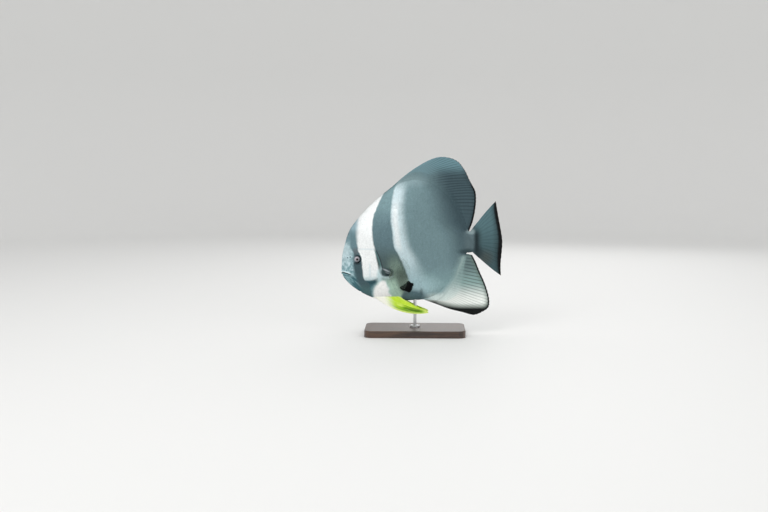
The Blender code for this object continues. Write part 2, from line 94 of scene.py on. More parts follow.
def splinePoints(points, perSpan, closed=False):
    # a smooth line through the points (Catmull-Rom)
    at = np.array(points, float)
    padded = np.vstack([at[-1:], at, at[:2]] if closed else [at[:1], at, at[-1:]])
    t = (np.arange(perSpan) / perSpan)[:, None]
    made = []
    for a, b, c, d in zip(padded, padded[1:], padded[2:], padded[3:]):
        cubic = (3 * b - a - 3 * c + d) * t**3
        made.append(0.5 * (2 * b + (c - a) * t + (2 * a - 5 * b + 4 * c - d) * t**2 + cubic))
    return np.vstack(made if closed else [*made, at[-1:]])


def step(value, low, high):
    t = np.clip((np.asarray(value, float) - low) / (high - low), 0, 1)
    return t * t * (3 - 2 * t)


def hump(distance, width):
    return np.exp(-((distance / width) ** 2))


def unitRows(rows):
    return rows / np.linalg.norm(rows, axis=-1)[..., None]


def runAlong(line):
    # how far each point of a line is from its start
    return np.concatenate([[0], np.cumsum(np.linalg.norm(np.diff(line, axis=0), axis=1))])


def lineDistance(x, z, line):
    # distance to a line of the side view, and how far along it the nearest place is, from 0 to 1
    at = np.stack([x, z], 1)
    best, along = np.full(len(at), 1e9), np.zeros(len(at))
    for k, (a, b) in enumerate(zip(line, line[1:])):
        run = b - a
        share = np.clip((at - a) @ run / (run @ run), 0, 1)
        away = np.hypot(*(at - a - share[:, None] * run).T)
        near = away < best
        best[near], along[near] = away[near], ((k + share) / (len(line) - 1))[near]
    return best, along


def insideLoop(x, z, loop):
    inside = np.zeros(len(x), bool)
    for a, b in zip(loop, np.roll(loop, -1, 0)):
        crosses = (a[1] > z) != (b[1] > z)
        inside ^= crosses & (x < a[0] + (z - a[1]) * (b[0] - a[0]) / (b[1] - a[1] + 1e-12))
    return inside


# the body's shape, the same as the frame's

body = {
    # side view of the flesh, from the upper lip over the back to the tail and along the belly
    "outline": [
        (-208.5, 168), (-207.6, 187), (-206.4, 205), (-199.4, 235), (-188.2, 268), (-170.8, 294),
        (-147.4, 321), (-121.4, 346), (-92.8, 370.5), (-66.8, 389.5), (-40.8, 400), (-12.2, 403),
        (19.0, 396), (47.6, 378), (73.6, 351), (94.4, 318), (108.7, 287), (118.5, 270),
        (128.0, 267), (136.0, 261), (141.0, 241.5), (136.0, 219), (128.0, 213.5), (115.2, 211),
        (102.2, 190), (87.9, 159), (68.4, 129), (42.4, 105), (13.8, 93), (-20.0, 89),
        (-56.4, 88), (-92.8, 88), (-126.6, 95), (-155.2, 108), (-181.2, 125), (-199.2, 143),
        (-206.6, 156),
    ],
    "perSpan": 8, "middle": (-61.6, 226), "halfWidth": 33,
    # (power of the distance, power of what is left) towards each side
    "front": (1.9, 0.62), "rear": (1.5, 1.05), "top": (1.7, 0.84), "belly": (2.2, 0.6),
    "rimHalfWidth": 2.9, "rimPower": 40,
    "stemHalfWidth": 7.5, "stemMiddle": 241.5, "stemHalfHeight": 31, "stemFade": (10, 118), "stemPower": 10,
    "stemWindow": (-13, 21),  # degrees where the stem leaves the oval of the flank
    "swayFrom": 40, "swayRadius": 600,
    "swells": [(-166, 197, 19, 1.6), (-201, 160, 19, 3.2)],  # x, z, reach, height
    "rings": 36, "coatDepth": 0.35,
}
outline = splinePoints(body["outline"], body["perSpan"], True)
middle = np.array(body["middle"])
outlineAngles = np.arctan2(*(outline - middle).T[::-1])
angleOrder = np.argsort(outlineAngles)
rimAngles, rimReach = outlineAngles[angleOrder], np.hypot(*(outline - middle).T)[angleOrder]
lowStem, highStem = np.radians(body["stemWindow"])
flankPart = (rimAngles < lowStem) | (rimAngles > highStem)


def sway(x):
    return np.maximum(0, x - body["swayFrom"]) ** 2 / (2 * body["swayRadius"])


def halfWidthAt(x, z):
    dx, dz = x - middle[0], z - middle[1]
    far, angle = np.hypot(dx, dz), np.arctan2(dz, dx)
    share, flankShare = [
        np.minimum(1, far / np.interp(angle, rimAngles[part], rimReach[part], period=fullTurn))
        for part in (slice(None), flankPart)]
    ways = {"front": -dx, "rear": dx, "top": dz, "belly": -dz}
    weights = {key: (np.maximum(0, way) / np.maximum(far, 1e-9)) ** 2 for key, way in ways.items()}
    power, left = [sum(weight * body[key][k] for key, weight in weights.items()) for k in (0, 1)]
    flank = body["halfWidth"] * (1 - flankShare**power) ** left
    height = np.maximum(0, 1 - ((z - body["stemMiddle"]) / body["stemHalfHeight"]) ** 2)
    stem = body["stemHalfWidth"] * step(x, *body["stemFade"])
    stem = stem * np.sqrt(height * (1 - share ** body["stemPower"]))
    rim = np.sqrt(1 - share ** body["rimPower"])
    swell = sum(h * hump(np.hypot(x - sx, z - sz), reach) for sx, sz, reach, h in body["swells"])
    return np.sqrt(flank**2 + stem**2 + (body["rimHalfWidth"] * rim) ** 2) + swell * rim


def onBody(unit):
    # points of a unit sphere, its poles at the flanks, pressed out to the outline
    turn = np.arctan2(unit[:, 1], unit[:, 0]) / fullTurn * len(outline) % len(outline)
    first = np.floor(turn).astype(int) % len(outline)
    part = (turn - np.floor(turn))[:, None]
    edge = outline[first] * (1 - part) + outline[(first + 1) % len(outline)] * part
    share = np.minimum(1, np.hypot(unit[:, 0], unit[:, 1]))[:, None]
    x, z = (middle + share * (edge - middle)).T
    side = np.where(np.abs(unit[:, 2]) < 1e-6, 0, np.sign(unit[:, 2]))
    return np.stack([x, side * halfWidthAt(x, z) + sway(x), z], 1)


# what stands up from the skin or sinks into it

face = {
    "mouthTip": (-205.2, 161.2), "mouthCorner": (-183.4, 155.6), "mouthBow": 1.0,
    "slitDepth": 4.5, "slitWidth": 0.9, "slitFade": (-1, 4), "lipFade": (-3, 6),
    "lipTaper": (0.45, -2, 13),  # the lips draw together towards the corner: least share, from, to
    "lips": [(2.7, 1.7, 2.2), (-2.9, 1.6, 2.0)],  # distance from the slit, width, height
    "lipCreases": [(5.9, 1.1, 0.6), (-5.8, 1.2, 0.8)],
    "nostrils": [(-191.5, 200, 1.5), (-184.5, 202, 1.8)],  # x, z, radius
    "nostrilDepth": 1.9, "nostrilFade": (0.35, 1.05),
    "nostrilRim": (1.35, 0.35, 0.45),  # radius and width as shares of the nostril's, height
    "eye": (-166, 197), "eyeOpening": (8.9, 11.0),
    "orbit": [(12.3, 1.5, 0.9), (15.4, 1.2, -0.25)],  # radius, width, height
    "socketDepth": 2.5,
}
gills = {
    "cover": [(-140.6, 218.6), (-128.7, 224.5), (-118.6, 210.6), (-111.5, 189), (-108.9, 168), (-112.8, 150),
              (-126.7, 134.4), (-142.5, 135.4), (-148.5, 155), (-147.5, 189)],
    "proudFrom": -149, "proudTo": -111, "proud": 1.9, "topLow": 0.8, "topFade": (205, 224), "edge": 0.45,
    "membrane": 4, "membraneWider": (3.4, 163, 22), "membraneHeight": 0.7,  # wider by, at z, over
    "slitDepth": 1.1, "slitWidth": 0.9,
    "creaseFade": (0.25, 0.8),  # shares of a crease's length: full from, full to
    "creases": [  # line, depth, width
        ([(-133, 221), (-132.6, 206), (-133, 187.5), (-134, 165), (-138.6, 149), (-150.5, 139),
          (-166.3, 139)], 0.5, 1.1),
        ([(-125, 130.5), (-141, 119.5), (-159, 110), (-175, 109)], 0.9, 1.3),
        ([(-182.4, 156), (-177.4, 150.4), (-175.4, 142.4), (-179.2, 134.4)], 0.45, 1.2)],
    "pectoralBase": (-87, 164.5, 15, 11.5, 3.2),  # x, z, half length, half height, height
    "baseFade": (0.3, 1.05), "reliefEnd": -75,
}
coverLoop = splinePoints(gills["cover"], 6, True)
coverLoop = np.vstack([coverLoop, coverLoop[:1]])
creases = [(splinePoints(line, 4), depth, width) for line, depth, width in gills["creases"]]
throatLine = creases[1][0]


def mouthAxes(x, z, clip=np.clip):
    # how far forward from the corner of the mouth, and how far above its bowed line
    (tipX, tipZ), (cornerX, cornerZ) = face["mouthTip"], face["mouthCorner"]
    length = math.hypot(tipX - cornerX, tipZ - cornerZ)
    fx, fz = (tipX - cornerX) / length, (tipZ - cornerZ) / length
    ahead = (x - cornerX) * fx + (z - cornerZ) * fz
    share = clip(ahead / length, 0, 1)
    return ahead, (x - cornerX) * fz - (z - cornerZ) * fx - share * (1 - share) * (4 * face["mouthBow"])


def mouthRelief(x, z):
    ahead, above = mouthAxes(x, z)
    reach = step(ahead, *face["lipFade"])
    least, start, end = face["lipTaper"]
    taper = least + (1 - least) * step(ahead, start, end)
    made = -face["slitDepth"] * hump(above, face["slitWidth"] * taper) * step(ahead, *face["slitFade"])
    for at, width, height in face["lips"]:
        made += height * taper * hump(above - at * taper, width * taper) * reach
    for at, width, depth in face["lipCreases"]:
        made -= depth * hump(above - at * taper, width * taper) * reach
    return made


def eyeRelief(x, z):
    away = np.hypot(x - face["eye"][0], z - face["eye"][1])
    made = -face["socketDepth"] * (1 - step(away, *face["eyeOpening"]))
    return made + sum(height * hump(away - radius, width) for radius, width, height in face["orbit"])


def nostrilRelief(x, z):
    made = 0
    rim, width, height = face["nostrilRim"]
    for nx, nz, radius in face["nostrils"]:
        share = np.hypot(x - nx, z - nz) / radius
        made = made - face["nostrilDepth"] * (1 - step(share, *face["nostrilFade"]))
        made = made + height * hump(share - rim, width)
    return made


def membraneWidth(z):
    wider, at, over = gills["membraneWider"]
    return gills["membrane"] + wider * hump(z - at, over)


def gillRelief(x, z):
    away, _ = lineDistance(x, z, coverLoop)
    away = np.where(insideLoop(x, z, coverLoop[:-1]), -away, away)
    rear = step(x, gills["proudFrom"], gills["proudTo"]) * (1 - gills["topLow"] * step(z, *gills["topFade"]))
    edge, width = gills["edge"], membraneWidth(z)
    plate = gills["proud"] * (1 - step(away, -edge, edge))
    membrane = gills["membraneHeight"] * (1 - step(away, width - edge, width + edge)) * step(away, -1, 1)
    slit = gills["slitDepth"] * hump(away - width - gills["slitWidth"], gills["slitWidth"])
    made = rear * (plate + membrane - slit)
    fullFrom, fullTo = gills["creaseFade"]
    for line, depth, across in creases:
        far, along = lineDistance(x, z, line)
        made -= depth * hump(far, across) * step(along, 0, fullFrom) * (1 - step(along, fullTo, 1))
    bx, bz, length, height, proud = gills["pectoralBase"]
    return made + proud * (1 - step(np.hypot((x - bx) / length, (z - bz) / height), *gills["baseFade"]))


def relief(points):
    made = np.zeros(len(points))
    head = points[:, 0] < gills["reliefEnd"]
    x, z = points[head][:, 0], points[head][:, 2]
    made[head] = sum(part(x, z) for part in (mouthRelief, eyeRelief, nostrilRelief, gillRelief))
    return made


# the skin

fine = {
    "head": -98, "heights": (96, 236),  # in front of this x and between these heights: halved once
    # how near to what: halved twice, three times, four times
    "mouth": [(-7, 10), (-4, 6.5), (-2.5, 1.9)],  # ahead of this, this near to its line
    "eyeRing": 11.3, "eye": (5, 2.3), "nostril": (2.6, 1.6),  # a nostril's in its own radii
    "cover": 6, "coverFrom": -142, "crease": 4,
}


def fineness(points):
    # how many times the skin's faces are halved at a place
    x, z = points[:, 0], points[:, 2]
    low, high = fine["heights"]
    head = (x < fine["head"]) & (z > low) & (z < high)
    ahead, above = mouthAxes(x, z)
    second, third, fourth = [(ahead > start) & (np.abs(above) < near) for start, near in fine["mouth"]]
    second |= (lineDistance(x, z, coverLoop)[0] < fine["cover"]) & (x > fine["coverFrom"])
    second |= np.any([lineDistance(x, z, line)[0] < fine["crease"] for line, _, _ in creases], 0)
    eyeAway = np.abs(np.hypot(x - face["eye"][0], z - face["eye"][1]) - fine["eyeRing"])
    second |= eyeAway < fine["eye"][0]
    third |= eyeAway < fine["eye"][1]
    for nx, nz, radius in face["nostrils"]:
        share = np.hypot(x - nx, z - nz) / radius
        third |= share < fine["nostril"][0]
        fourth |= share < fine["nostril"][1]
    return np.select([fourth, third, second & head, head], [4, 3, 2, 1], 0)


def skinMesh():
    bm = bmesh.new()
    bmesh.ops.create_uvsphere(bm, u_segments=len(outline), v_segments=2 * body["rings"], radius=1)

    def unitPoints():
        return unitRows(np.array([v.co for v in bm.verts]))

    def moveTo(points):
        for vert, point in zip(bm.verts, points):
            vert.co = point

    for level in range(1, 5):
        bm.verts.index_update()
        wanted = fineness(onBody(unitPoints()))
        edges = {e for f in bm.faces if max(wanted[v.index] for v in f.verts) >= level for e in f.edges}
        bmesh.ops.subdivide_edges(bm, edges=list(edges), cuts=1, use_grid_fill=True)
        bmesh.ops.triangulate(bm, faces=[f for f in bm.faces if len(f.verts) > 4])
    points = onBody(unitPoints())
    moveTo(points)
    bm.normal_update()
    normals = np.array([v.normal for v in bm.verts])
    moveTo((points + normals * (relief(points) - body["coatDepth"])[:, None]) * mm)
    made = bpy.data.meshes.new("skin")
    bm.to_mesh(made)
    bm.free()
    return made


# fins

fins = {
    # rays from the front to the rear: (base x, z, tip x, z)
    "dorsal": {
        "rays": [(-80, 378, -71, 388), (-68, 387, -56, 402), (-60, 391.5, -36, 418), (-53, 395, -8, 437),
                 (-47, 398, 22, 453), (-42, 399.5, 48, 459.8), (-36, 400.5, 75, 456.5),
                 (-28, 401.5, 94, 446.7), (-14, 402, 106, 432), (2, 400.5, 113, 421),
                 (20, 393, 122.7, 400.4), (44, 378, 130, 387), (58, 366, 138, 371), (72, 350, 140, 351),
                 (86, 330.5, 138.5, 329), (98, 308, 134.5, 305), (108, 288.5, 129.5, 287),
                 (119, 268.5, 122, 269)],
        "count": 42, "spines": 5, "rows": 44, "root": 4.6, "sheath": 0.42, "web": 0.7,
        "embed": 12, "bow": (0, 0, 0.04), "bowEnd": (0, 0, 0.02), "scallop": 0.012,
        "rayRadius": 0.8, "tipRadius": 0.34, "branch": (0.18, 0.36, 0.11), "slot": "fin_grey",
    },
    "anal": {
        "rays": [(6, 92.5, 9, 89), (18, 96, 40, 78), (27, 99, 74, 65.5), (36, 102, 107, 57),
                 (44, 105.5, 136, 49.5), (52, 111, 158, 56.5), (59, 117, 174.6, 68.5), (67, 126, 176.8, 88.4),
                 (76, 139, 171.5, 112), (85, 155, 162.5, 137), (94, 174, 151, 162), (103, 192, 141, 186.5),
                 (112, 210.5, 131, 206)],
        "count": 31, "spines": 3, "rows": 40, "root": 4.6, "sheath": 0.36, "web": 0.7,
        "embed": 12, "bow": (0, 0, -0.02), "bowEnd": (0, 0, 0), "scallop": 0.01,
        "rayRadius": 0.8, "tipRadius": 0.36, "branch": (0.18, 0.36, 0.11), "slot": "fin_pale",
    },
    "caudal": {
        "rays": [(127, 266.5, 191.5, 345), (131, 262, 194.5, 328), (132.5, 255.5, 199.5, 300.5),
                 (133.5, 248, 206, 268), (134, 241.5, 209.8, 240.5), (133.5, 235, 208.6, 213),
                 (132.5, 227.5, 206.2, 187.5), (131.5, 221, 206, 168), (131, 217, 207, 151.5)],
        "count": 17, "spines": 0, "rows": 44, "root": 5.6, "sheath": 0.22, "web": 0.65,
        "embed": 12, "bow": (0, 0, 0.04), "bowEnd": (0, 0, -0.03), "scallop": 0.008,
        "rayRadius": 0.8, "tipRadius": 0.34, "branch": (0.25, 0.375, 0.125), "slot": "fin_grey",
    },
    # the paired fins have (base x, y, z, tip x, y, z)
    "pectoral": {
        "rays": [(-85, -29.3, 173.5, -48, -44, 204.5), (-82, -30, 169.5, -35, -48, 190),
                 (-79.5, -30.4, 165, -28, -51, 169), (-79, -30.2, 160.5, -32, -52, 145),
                 (-80.5, -29.4, 156.5, -44, -50, 123), (-83.5, -28.2, 153, -63, -45, 109.5)],
        "count": 17, "spines": 1, "rows": 36, "root": 2.6, "sheath": 0.16, "web": 0.4,
        "embed": 8, "bow": (0, -0.05, 0), "bowEnd": (0, -0.05, 0), "scallop": 0.02,
        "rayRadius": 0.45, "tipRadius": 0.2, "branch": (0.2, 0.36, 0.12), "slot": "fin_olive",
    },
    "pelvic": {
        "rays": [(-117, -8.5, 94, 17.7, -17, 58), (-106, -9.5, 94.5, 17.5, -16.5, 60.5),
                 (-93, -10, 95.5, 9, -15.5, 65), (-80, -10, 96.5, -4, -14, 70),
                 (-68, -10, 98, -19, -12.5, 77), (-57, -10, 99.5, -37, -11, 86.5)],
        "count": 6, "spines": 1, "rows": 48, "root": 4.2, "sheath": 0.14, "web": 0.7,
        "embed": 9, "bow": (0, -0.02, -0.11), "bowEnd": (0, -0.02, -0.04), "scallop": 0.006,
        "rayRadius": 1.0, "tipRadius": 0.4, "branch": (0.2, 0.37, 0.12), "slot": "fin_yellow",
    },
}
finForm = {
    "columnsPerRay": 6, "inside": (-1, -0.4), "webTaper": 0.35, "sheathEnd": 2.2, "sheathPower": 2.2,
    "groove": (0.25, 0.2, 0.7),  # how much thinner the web is along a ray, from, to
    "sideEdge": 0.55, "margin": 0.4,  # what is left of the thickness at its edges
    "splits": (0.42, 0.7),  # how far out a ray parts into two and into four
    "raySteps": 26, "rayTaper": 0.8,
    "rayMost": (0.25, 0.3),  # a ray is no thicker than this share of its length and this much more
}


def finEnds(fin, phase):
    # where the rays start and end, and how far they arch: phase counts the rays
    table = splinePoints(fin["rays"], 8)
    at = np.asarray(phase, float) / (fin["count"] - 1) * (len(table) - 1)
    numbers = np.stack([np.interp(at, range(len(table)), column) for column in table.T], -1)
    base, tip = np.split(numbers, 2, -1)
    if base.shape[-1] == 2:
        base, tip = [np.stack([p[..., 0], 0 * p[..., 0], p[..., 1]], -1) for p in (base, tip)]
    length = np.linalg.norm(tip - base, axis=-1)[..., None]
    share = at[..., None] / (len(table) - 1)
    bow = (np.array(fin["bow"]) * (1 - share) + np.array(fin["bowEnd"]) * share) * length
    return base, tip, bow, length


def finPlace(fin, phase, along):
    # the middle of a fin's sheet: along runs from 0 at the body to 1, and from -1 inside it
    base, tip, bow, length = finEnds(fin, phase)
    along = np.asarray(along, float)[..., None]
    out = np.maximum(along, 0)
    place = base + (tip - base) * out + bow * 4 * out * (1 - out)
    place = place + (tip - base) / length * np.minimum(along, 0) * fin["embed"]
    if len(fin["rays"][0]) == 4:
        place[..., 1] += sway(place[..., 0])
    return place


def finThickness(fin, along):
    # a fleshy sheath at the root, then the thin web
    out = np.clip(along, 0, 1)
    left = np.clip(1 - out / (finForm["sheathEnd"] * fin["sheath"]), 0, 1) ** finForm["sheathPower"]
    return fin["web"] * (1 - finForm["webTaper"] * out) + (fin["root"] - fin["web"]) * left


def rayDistance(phase):
    return np.abs(phase - np.round(phase))


def scalloped(fin, phase, along):
    return along * (1 - fin["scallop"] * (2 * rayDistance(phase)) ** 2)


def toEdge(fin, phase, along):
    return (1 - np.clip(along, 0, 1)) * finEnds(fin, phase)[3][..., 0]


def finWeb(name, fin):
    phase = np.linspace(0, fin["count"] - 1, (fin["count"] - 1) * finForm["columnsPerRay"] + 1)
    along = np.concatenate([finForm["inside"], np.linspace(0, 1, fin["rows"])])
    phase, along = np.meshgrid(phase, along, indexing="ij")
    reach = np.where(along > 0, scalloped(fin, phase, along), along)
    place = finPlace(fin, phase, reach)
    normal = unitRows(np.cross(np.gradient(place, axis=0), np.gradient(place, axis=1)))
    thick = finThickness(fin, along)
    groove, start, end = finForm["groove"]
    thick = thick * (1 - groove * step(along, start, end) * np.cos(fullTurn * rayDistance(phase)) ** 2)
    thick[[0, -1]] *= finForm["sideEdge"]
    thick[:, -1] *= finForm["margin"]
    points = np.vstack([(place + side * normal * thick[..., None] / 2).reshape(-1, 3) for side in (1, -1)])
    index = np.arange(phase.size).reshape(phase.shape)
    quads = gridFaces(index)
    border = np.concatenate([index[:-1, 0], index[-1, :-1], index[:0:-1, -1], index[0, :0:-1]])
    ahead = np.roll(border, -1)
    rim = np.stack([border, border + phase.size, ahead + phase.size, ahead], -1)
    marks = {"across": phase / (fin["count"] - 1), "along": np.clip(reach, 0, 1), "onRay": 0 * phase,
             "phase": phase, "toEdge": toEdge(fin, phase, along)}
    return newMesh(name, points, np.vstack([quads, quads[:, ::-1] + phase.size, rim]),
                   {key: np.tile(values.ravel(), 2) for key, values in marks.items()})


def rayPaths(fin):
    # each ray splits into two and then four towards the margin, a spine doesn't
    paths = []
    first, second = finForm["splits"]
    spread, *tips = fin["branch"]
    for ray in range(fin["count"]):
        if ray < fin["spines"]:
            paths.append((ray, 0, 0, 0.0, 1.0))
            continue
        paths.append((ray, 0, 0, 0.0, first))
        for side in (-1, 1):
            if not 0 <= ray + side * 0.3 <= fin["count"] - 1:
                paths.append((ray, 0, 0, first, 1.0))
                continue
            paths.append((ray, 0, side * spread, first, second))
            paths += [(ray, side * spread, side * tip, second, 1.0) for tip in tips]
    return paths


def rayLines(name, fin):
    # the rays as lines, for the tubes that the node tree makes of them
    points, edges = [], []
    marks = {"thick": [], "across": [], "along": [], "toEdge": []}
    share, more = finForm["rayMost"]
    for ray, fromOffset, toOffset, start, end in rayPaths(fin):
        along = np.linspace(start, end, max(4, int(finForm["raySteps"] * (end - start))))
        phase = ray + fromOffset + (toOffset - fromOffset) * (along - start) / (end - start)
        phase = np.clip(phase, 0, fin["count"] - 1)
        line = finPlace(fin, phase, scalloped(fin, phase, along))
        radius = fin["rayRadius"] + (fin["tipRadius"] - fin["rayRadius"]) * along ** finForm["rayTaper"]
        radius = np.minimum(radius, share * np.linalg.norm(line[-1] - line[0]) + more)
        edges += [(len(points) + k, len(points) + k + 1) for k in range(len(line) - 1)]
        points += line.tolist()
        across = phase / (fin["count"] - 1)
        for key, values in zip(marks, (radius * mm, across, along, toEdge(fin, phase, along))):
            marks[key] += values.tolist()
    return newMesh(name, points, (), marks, edges)


# node trees

class Wire:
    # a socket of a node tree that can be used in sums
    def __init__(self, tree, socket):
        self.tree, self.socket = tree, socket

    def sum(self, operation, *others):
        return self.tree.maths(operation, self, *others)

    def __add__(self, other):
        return self.sum("ADD", other)

    def __sub__(self, other):
        return self.sum("SUBTRACT", other)

    def __rsub__(self, other):
        return self.tree.maths("SUBTRACT", other, self)

    def __mul__(self, other):
        return self.sum("MULTIPLY", other)

    def __truediv__(self, other):
        return self.sum("DIVIDE", other)

    def __pow__(self, other):
        return self.sum("POWER", other)

    __radd__, __rmul__ = __add__, __mul__

    def clip(self, low, high):
        return self.sum("MAXIMUM", low).sum("MINIMUM", high)

    def rise(self, low, high):
        # 0 below low and 1 above high, smooth between
        return self.tree.add("ShaderNodeMapRange", {"interpolation_type": "SMOOTHSTEP"},
                             {"Value": self, "From Min": low, "From Max": high})

    def fall(self, low, high):
        return 1 - self.rise(low, high)

    def stripe(self, width, soft):
        # 1 where the value is near 0
        return self.sum("ABSOLUTE").fall(width - soft, width + soft)

    def curve(self, points):
        # a smooth curve through (value, result) points
        (lowIn, highIn), (lowOut, highOut) = [(float(min(c)), float(max(c))) for c in zip(*points)]
        scaled = [((a - lowIn) / (highIn - lowIn), (b - lowOut) / (highOut - lowOut)) for a, b in points]
        share = (self - lowIn) / (highIn - lowIn)
        height = self.tree.add("ShaderNodeFloatCurve", {"curve": scaled}, {"Value": share})
        return height * (highOut - lowOut) + lowOut

    def scaled(self, value):
        # a colour made lighter or darker, a vector made longer or shorter
        return self.tree.add("ShaderNodeVectorMath", {"operation": "SCALE"}, {0: self, "Scale": value})

    def pick(self, a, b):
        # the colour a where the value is 0, b where it is 1
        return self.tree.add("ShaderNodeMix", {"data_type": "RGBA"}, {0: self, 6: linear(a), 7: linear(b)}, 2)


class Tree:
    def __init__(self, nodes):
        self.nodes, self.links = nodes.nodes, nodes.links

    def add(self, kind, settings=None, values=None, output=0):
        node = self.nodes.new(kind)
        for key, value in (settings or {}).items():
            if key == "curve":
                self.bend(node, value)
            else:
                setattr(node, key, value)
        for key, value in (values or {}).items():
            if isinstance(value, Wire):
                self.links.new(value.socket, node.inputs[key])
            else:
                node.inputs[key].default_value = value
        return Wire(self, node.outputs[output]) if node.outputs else node

    def bend(self, node, points):
        curve = node.mapping.curves[0]
        while len(curve.points) < len(points):
            curve.points.new(0.5, 0.5)
        for spot, place in zip(curve.points, sorted(points)):
            spot.location = place
        node.mapping.update()

    def maths(self, operation, *values):
        return self.add("ShaderNodeMath", {"operation": operation}, dict(enumerate(values)))


class Paint:
    # colours laid over each other, each with a mask from 0 to 1, at x and z of the side view
    def __init__(self, x, z, colour):
        self.x, self.z, self.colour = x, z, colour

    def over(self, colour, mask):
        self.colour = mask.pick(self.colour, colour)
        return self

    def spot(self, colour, strength, at, radii, soft=0.35):
        return self.over(colour, spot(self.x, self.z, at, radii, soft) * strength)


def linear(colour):
    # a palette name or a display colour as the shader's linear one
    if isinstance(colour, Wire):
        return colour
    display = palette[colour] if isinstance(colour, str) else colour
    return (*[c / 3294.6 if c <= 10 else ((c / 255 + 0.055) / 1.055) ** 2.4 for c in display], 1)


def noise(place, scale, detail=2.0, rough=0.5):
    return place.tree.add("ShaderNodeTexNoise", {}, {
        "Vector": place, "Scale": scale, "Detail": detail, "Roughness": rough})


def stretched(place, scale):
    return place.tree.add("ShaderNodeMapping", {}, {"Vector": place, "Scale": scale})


def combined(*parts):
    return parts[0].tree.add("ShaderNodeCombineXYZ", {}, dict(enumerate(parts)))


def bumped(height, distance, strength=0.25):
    return height.tree.add("ShaderNodeBump", {}, {
        "Strength": strength, "Distance": distance, "Height": height})


def attribute(tree, name):
    return tree.add("ShaderNodeAttribute", {"attribute_name": name}, output=2)


def newMaterial(name):
    made = bpy.data.materials.new(name)
    made.use_nodes = True
    made.node_tree.nodes.clear()
    tree = Tree(made.node_tree)
    return made, tree, tree.add("ShaderNodeTexCoord", output="Object")


def finishMaterial(tree, values):
    shader = tree.add("ShaderNodeBsdfPrincipled", values=values)
    tree.add("ShaderNodeOutputMaterial", values={"Surface": shader})


# markings, the same on skin, scales and fins

palette = {  # display colours
    "body": (117, 143, 148), "shade": (64, 83, 90), "low": (134, 164, 167), "glow": (188, 220, 224),
    "white": (246, 249, 249), "whiteLow": (236, 243, 244), "crease": (202, 220, 227),
    "forehead": (132, 162, 171), "foreheadTop": (160, 188, 198), "snout": (166, 196, 203),
    "snoutDark": (122, 157, 165), "brow": (112, 117, 122), "jaw": (144, 182, 188),
    "speck": (216, 234, 239), "lip": (214, 234, 238), "lipLow": (118, 158, 165), "chin": (66, 108, 117),
    "nostril": (84, 112, 119), "mouth": (40, 58, 64), "orbit": (70, 92, 98), "underEye": (26, 36, 42),
    "eyeBarTop": (112, 141, 149), "eyeBarLow": (72, 94, 100),
    "throat": (50, 80, 87), "throatLow": (80, 111, 113),
    "barTop": (121, 149, 154), "barMid": (99, 124, 131), "barLow": (80, 98, 99),
    "olive": (104, 124, 114), "oliveLow": (174, 203, 186),
    "secondTop": (196, 213, 218), "secondMid": (198, 217, 222), "secondLow": (164, 192, 198),
    "breast": (252, 253, 251), "breastEdge": (184, 212, 212), "belly": (72, 100, 107),
    "blotch": (3, 4, 7), "smoke": (60, 78, 80), "smokeLow": (76, 88, 80),
    "membrane": (84, 122, 122), "gillDark": (56, 60, 66), "column": (200, 222, 226),
    "lobe": (62, 76, 77), "lobePale": (160, 168, 173),
    "stem": (96, 115, 120), "stemPale": (150, 170, 173), "stemDark": (48, 66, 70),
    "sheath": (148, 174, 172), "sheathLow": (228, 242, 238), "sheathEdge": (168, 190, 187),
    "dorsalTip": (114, 150, 159), "dorsalFront": (114, 145, 153),
    "analTop": (100, 121, 122), "analMid": (140, 168, 165), "cream": (238, 243, 238),
    "analEdge": (12, 17, 16), "analShade": (104, 122, 112), "black": (3, 5, 8),
    "tailTop": (84, 114, 120), "tailLow": (64, 88, 93), "tailBase": (38, 50, 54), "tailBrown": (74, 74, 68),
    "pectoral": (116, 134, 121), "yellow": (198, 232, 58), "green": (110, 172, 20), "fold": (66, 108, 26),
    "pelvicBase": (253, 253, 240), "pelvicLight": (238, 252, 142),
}
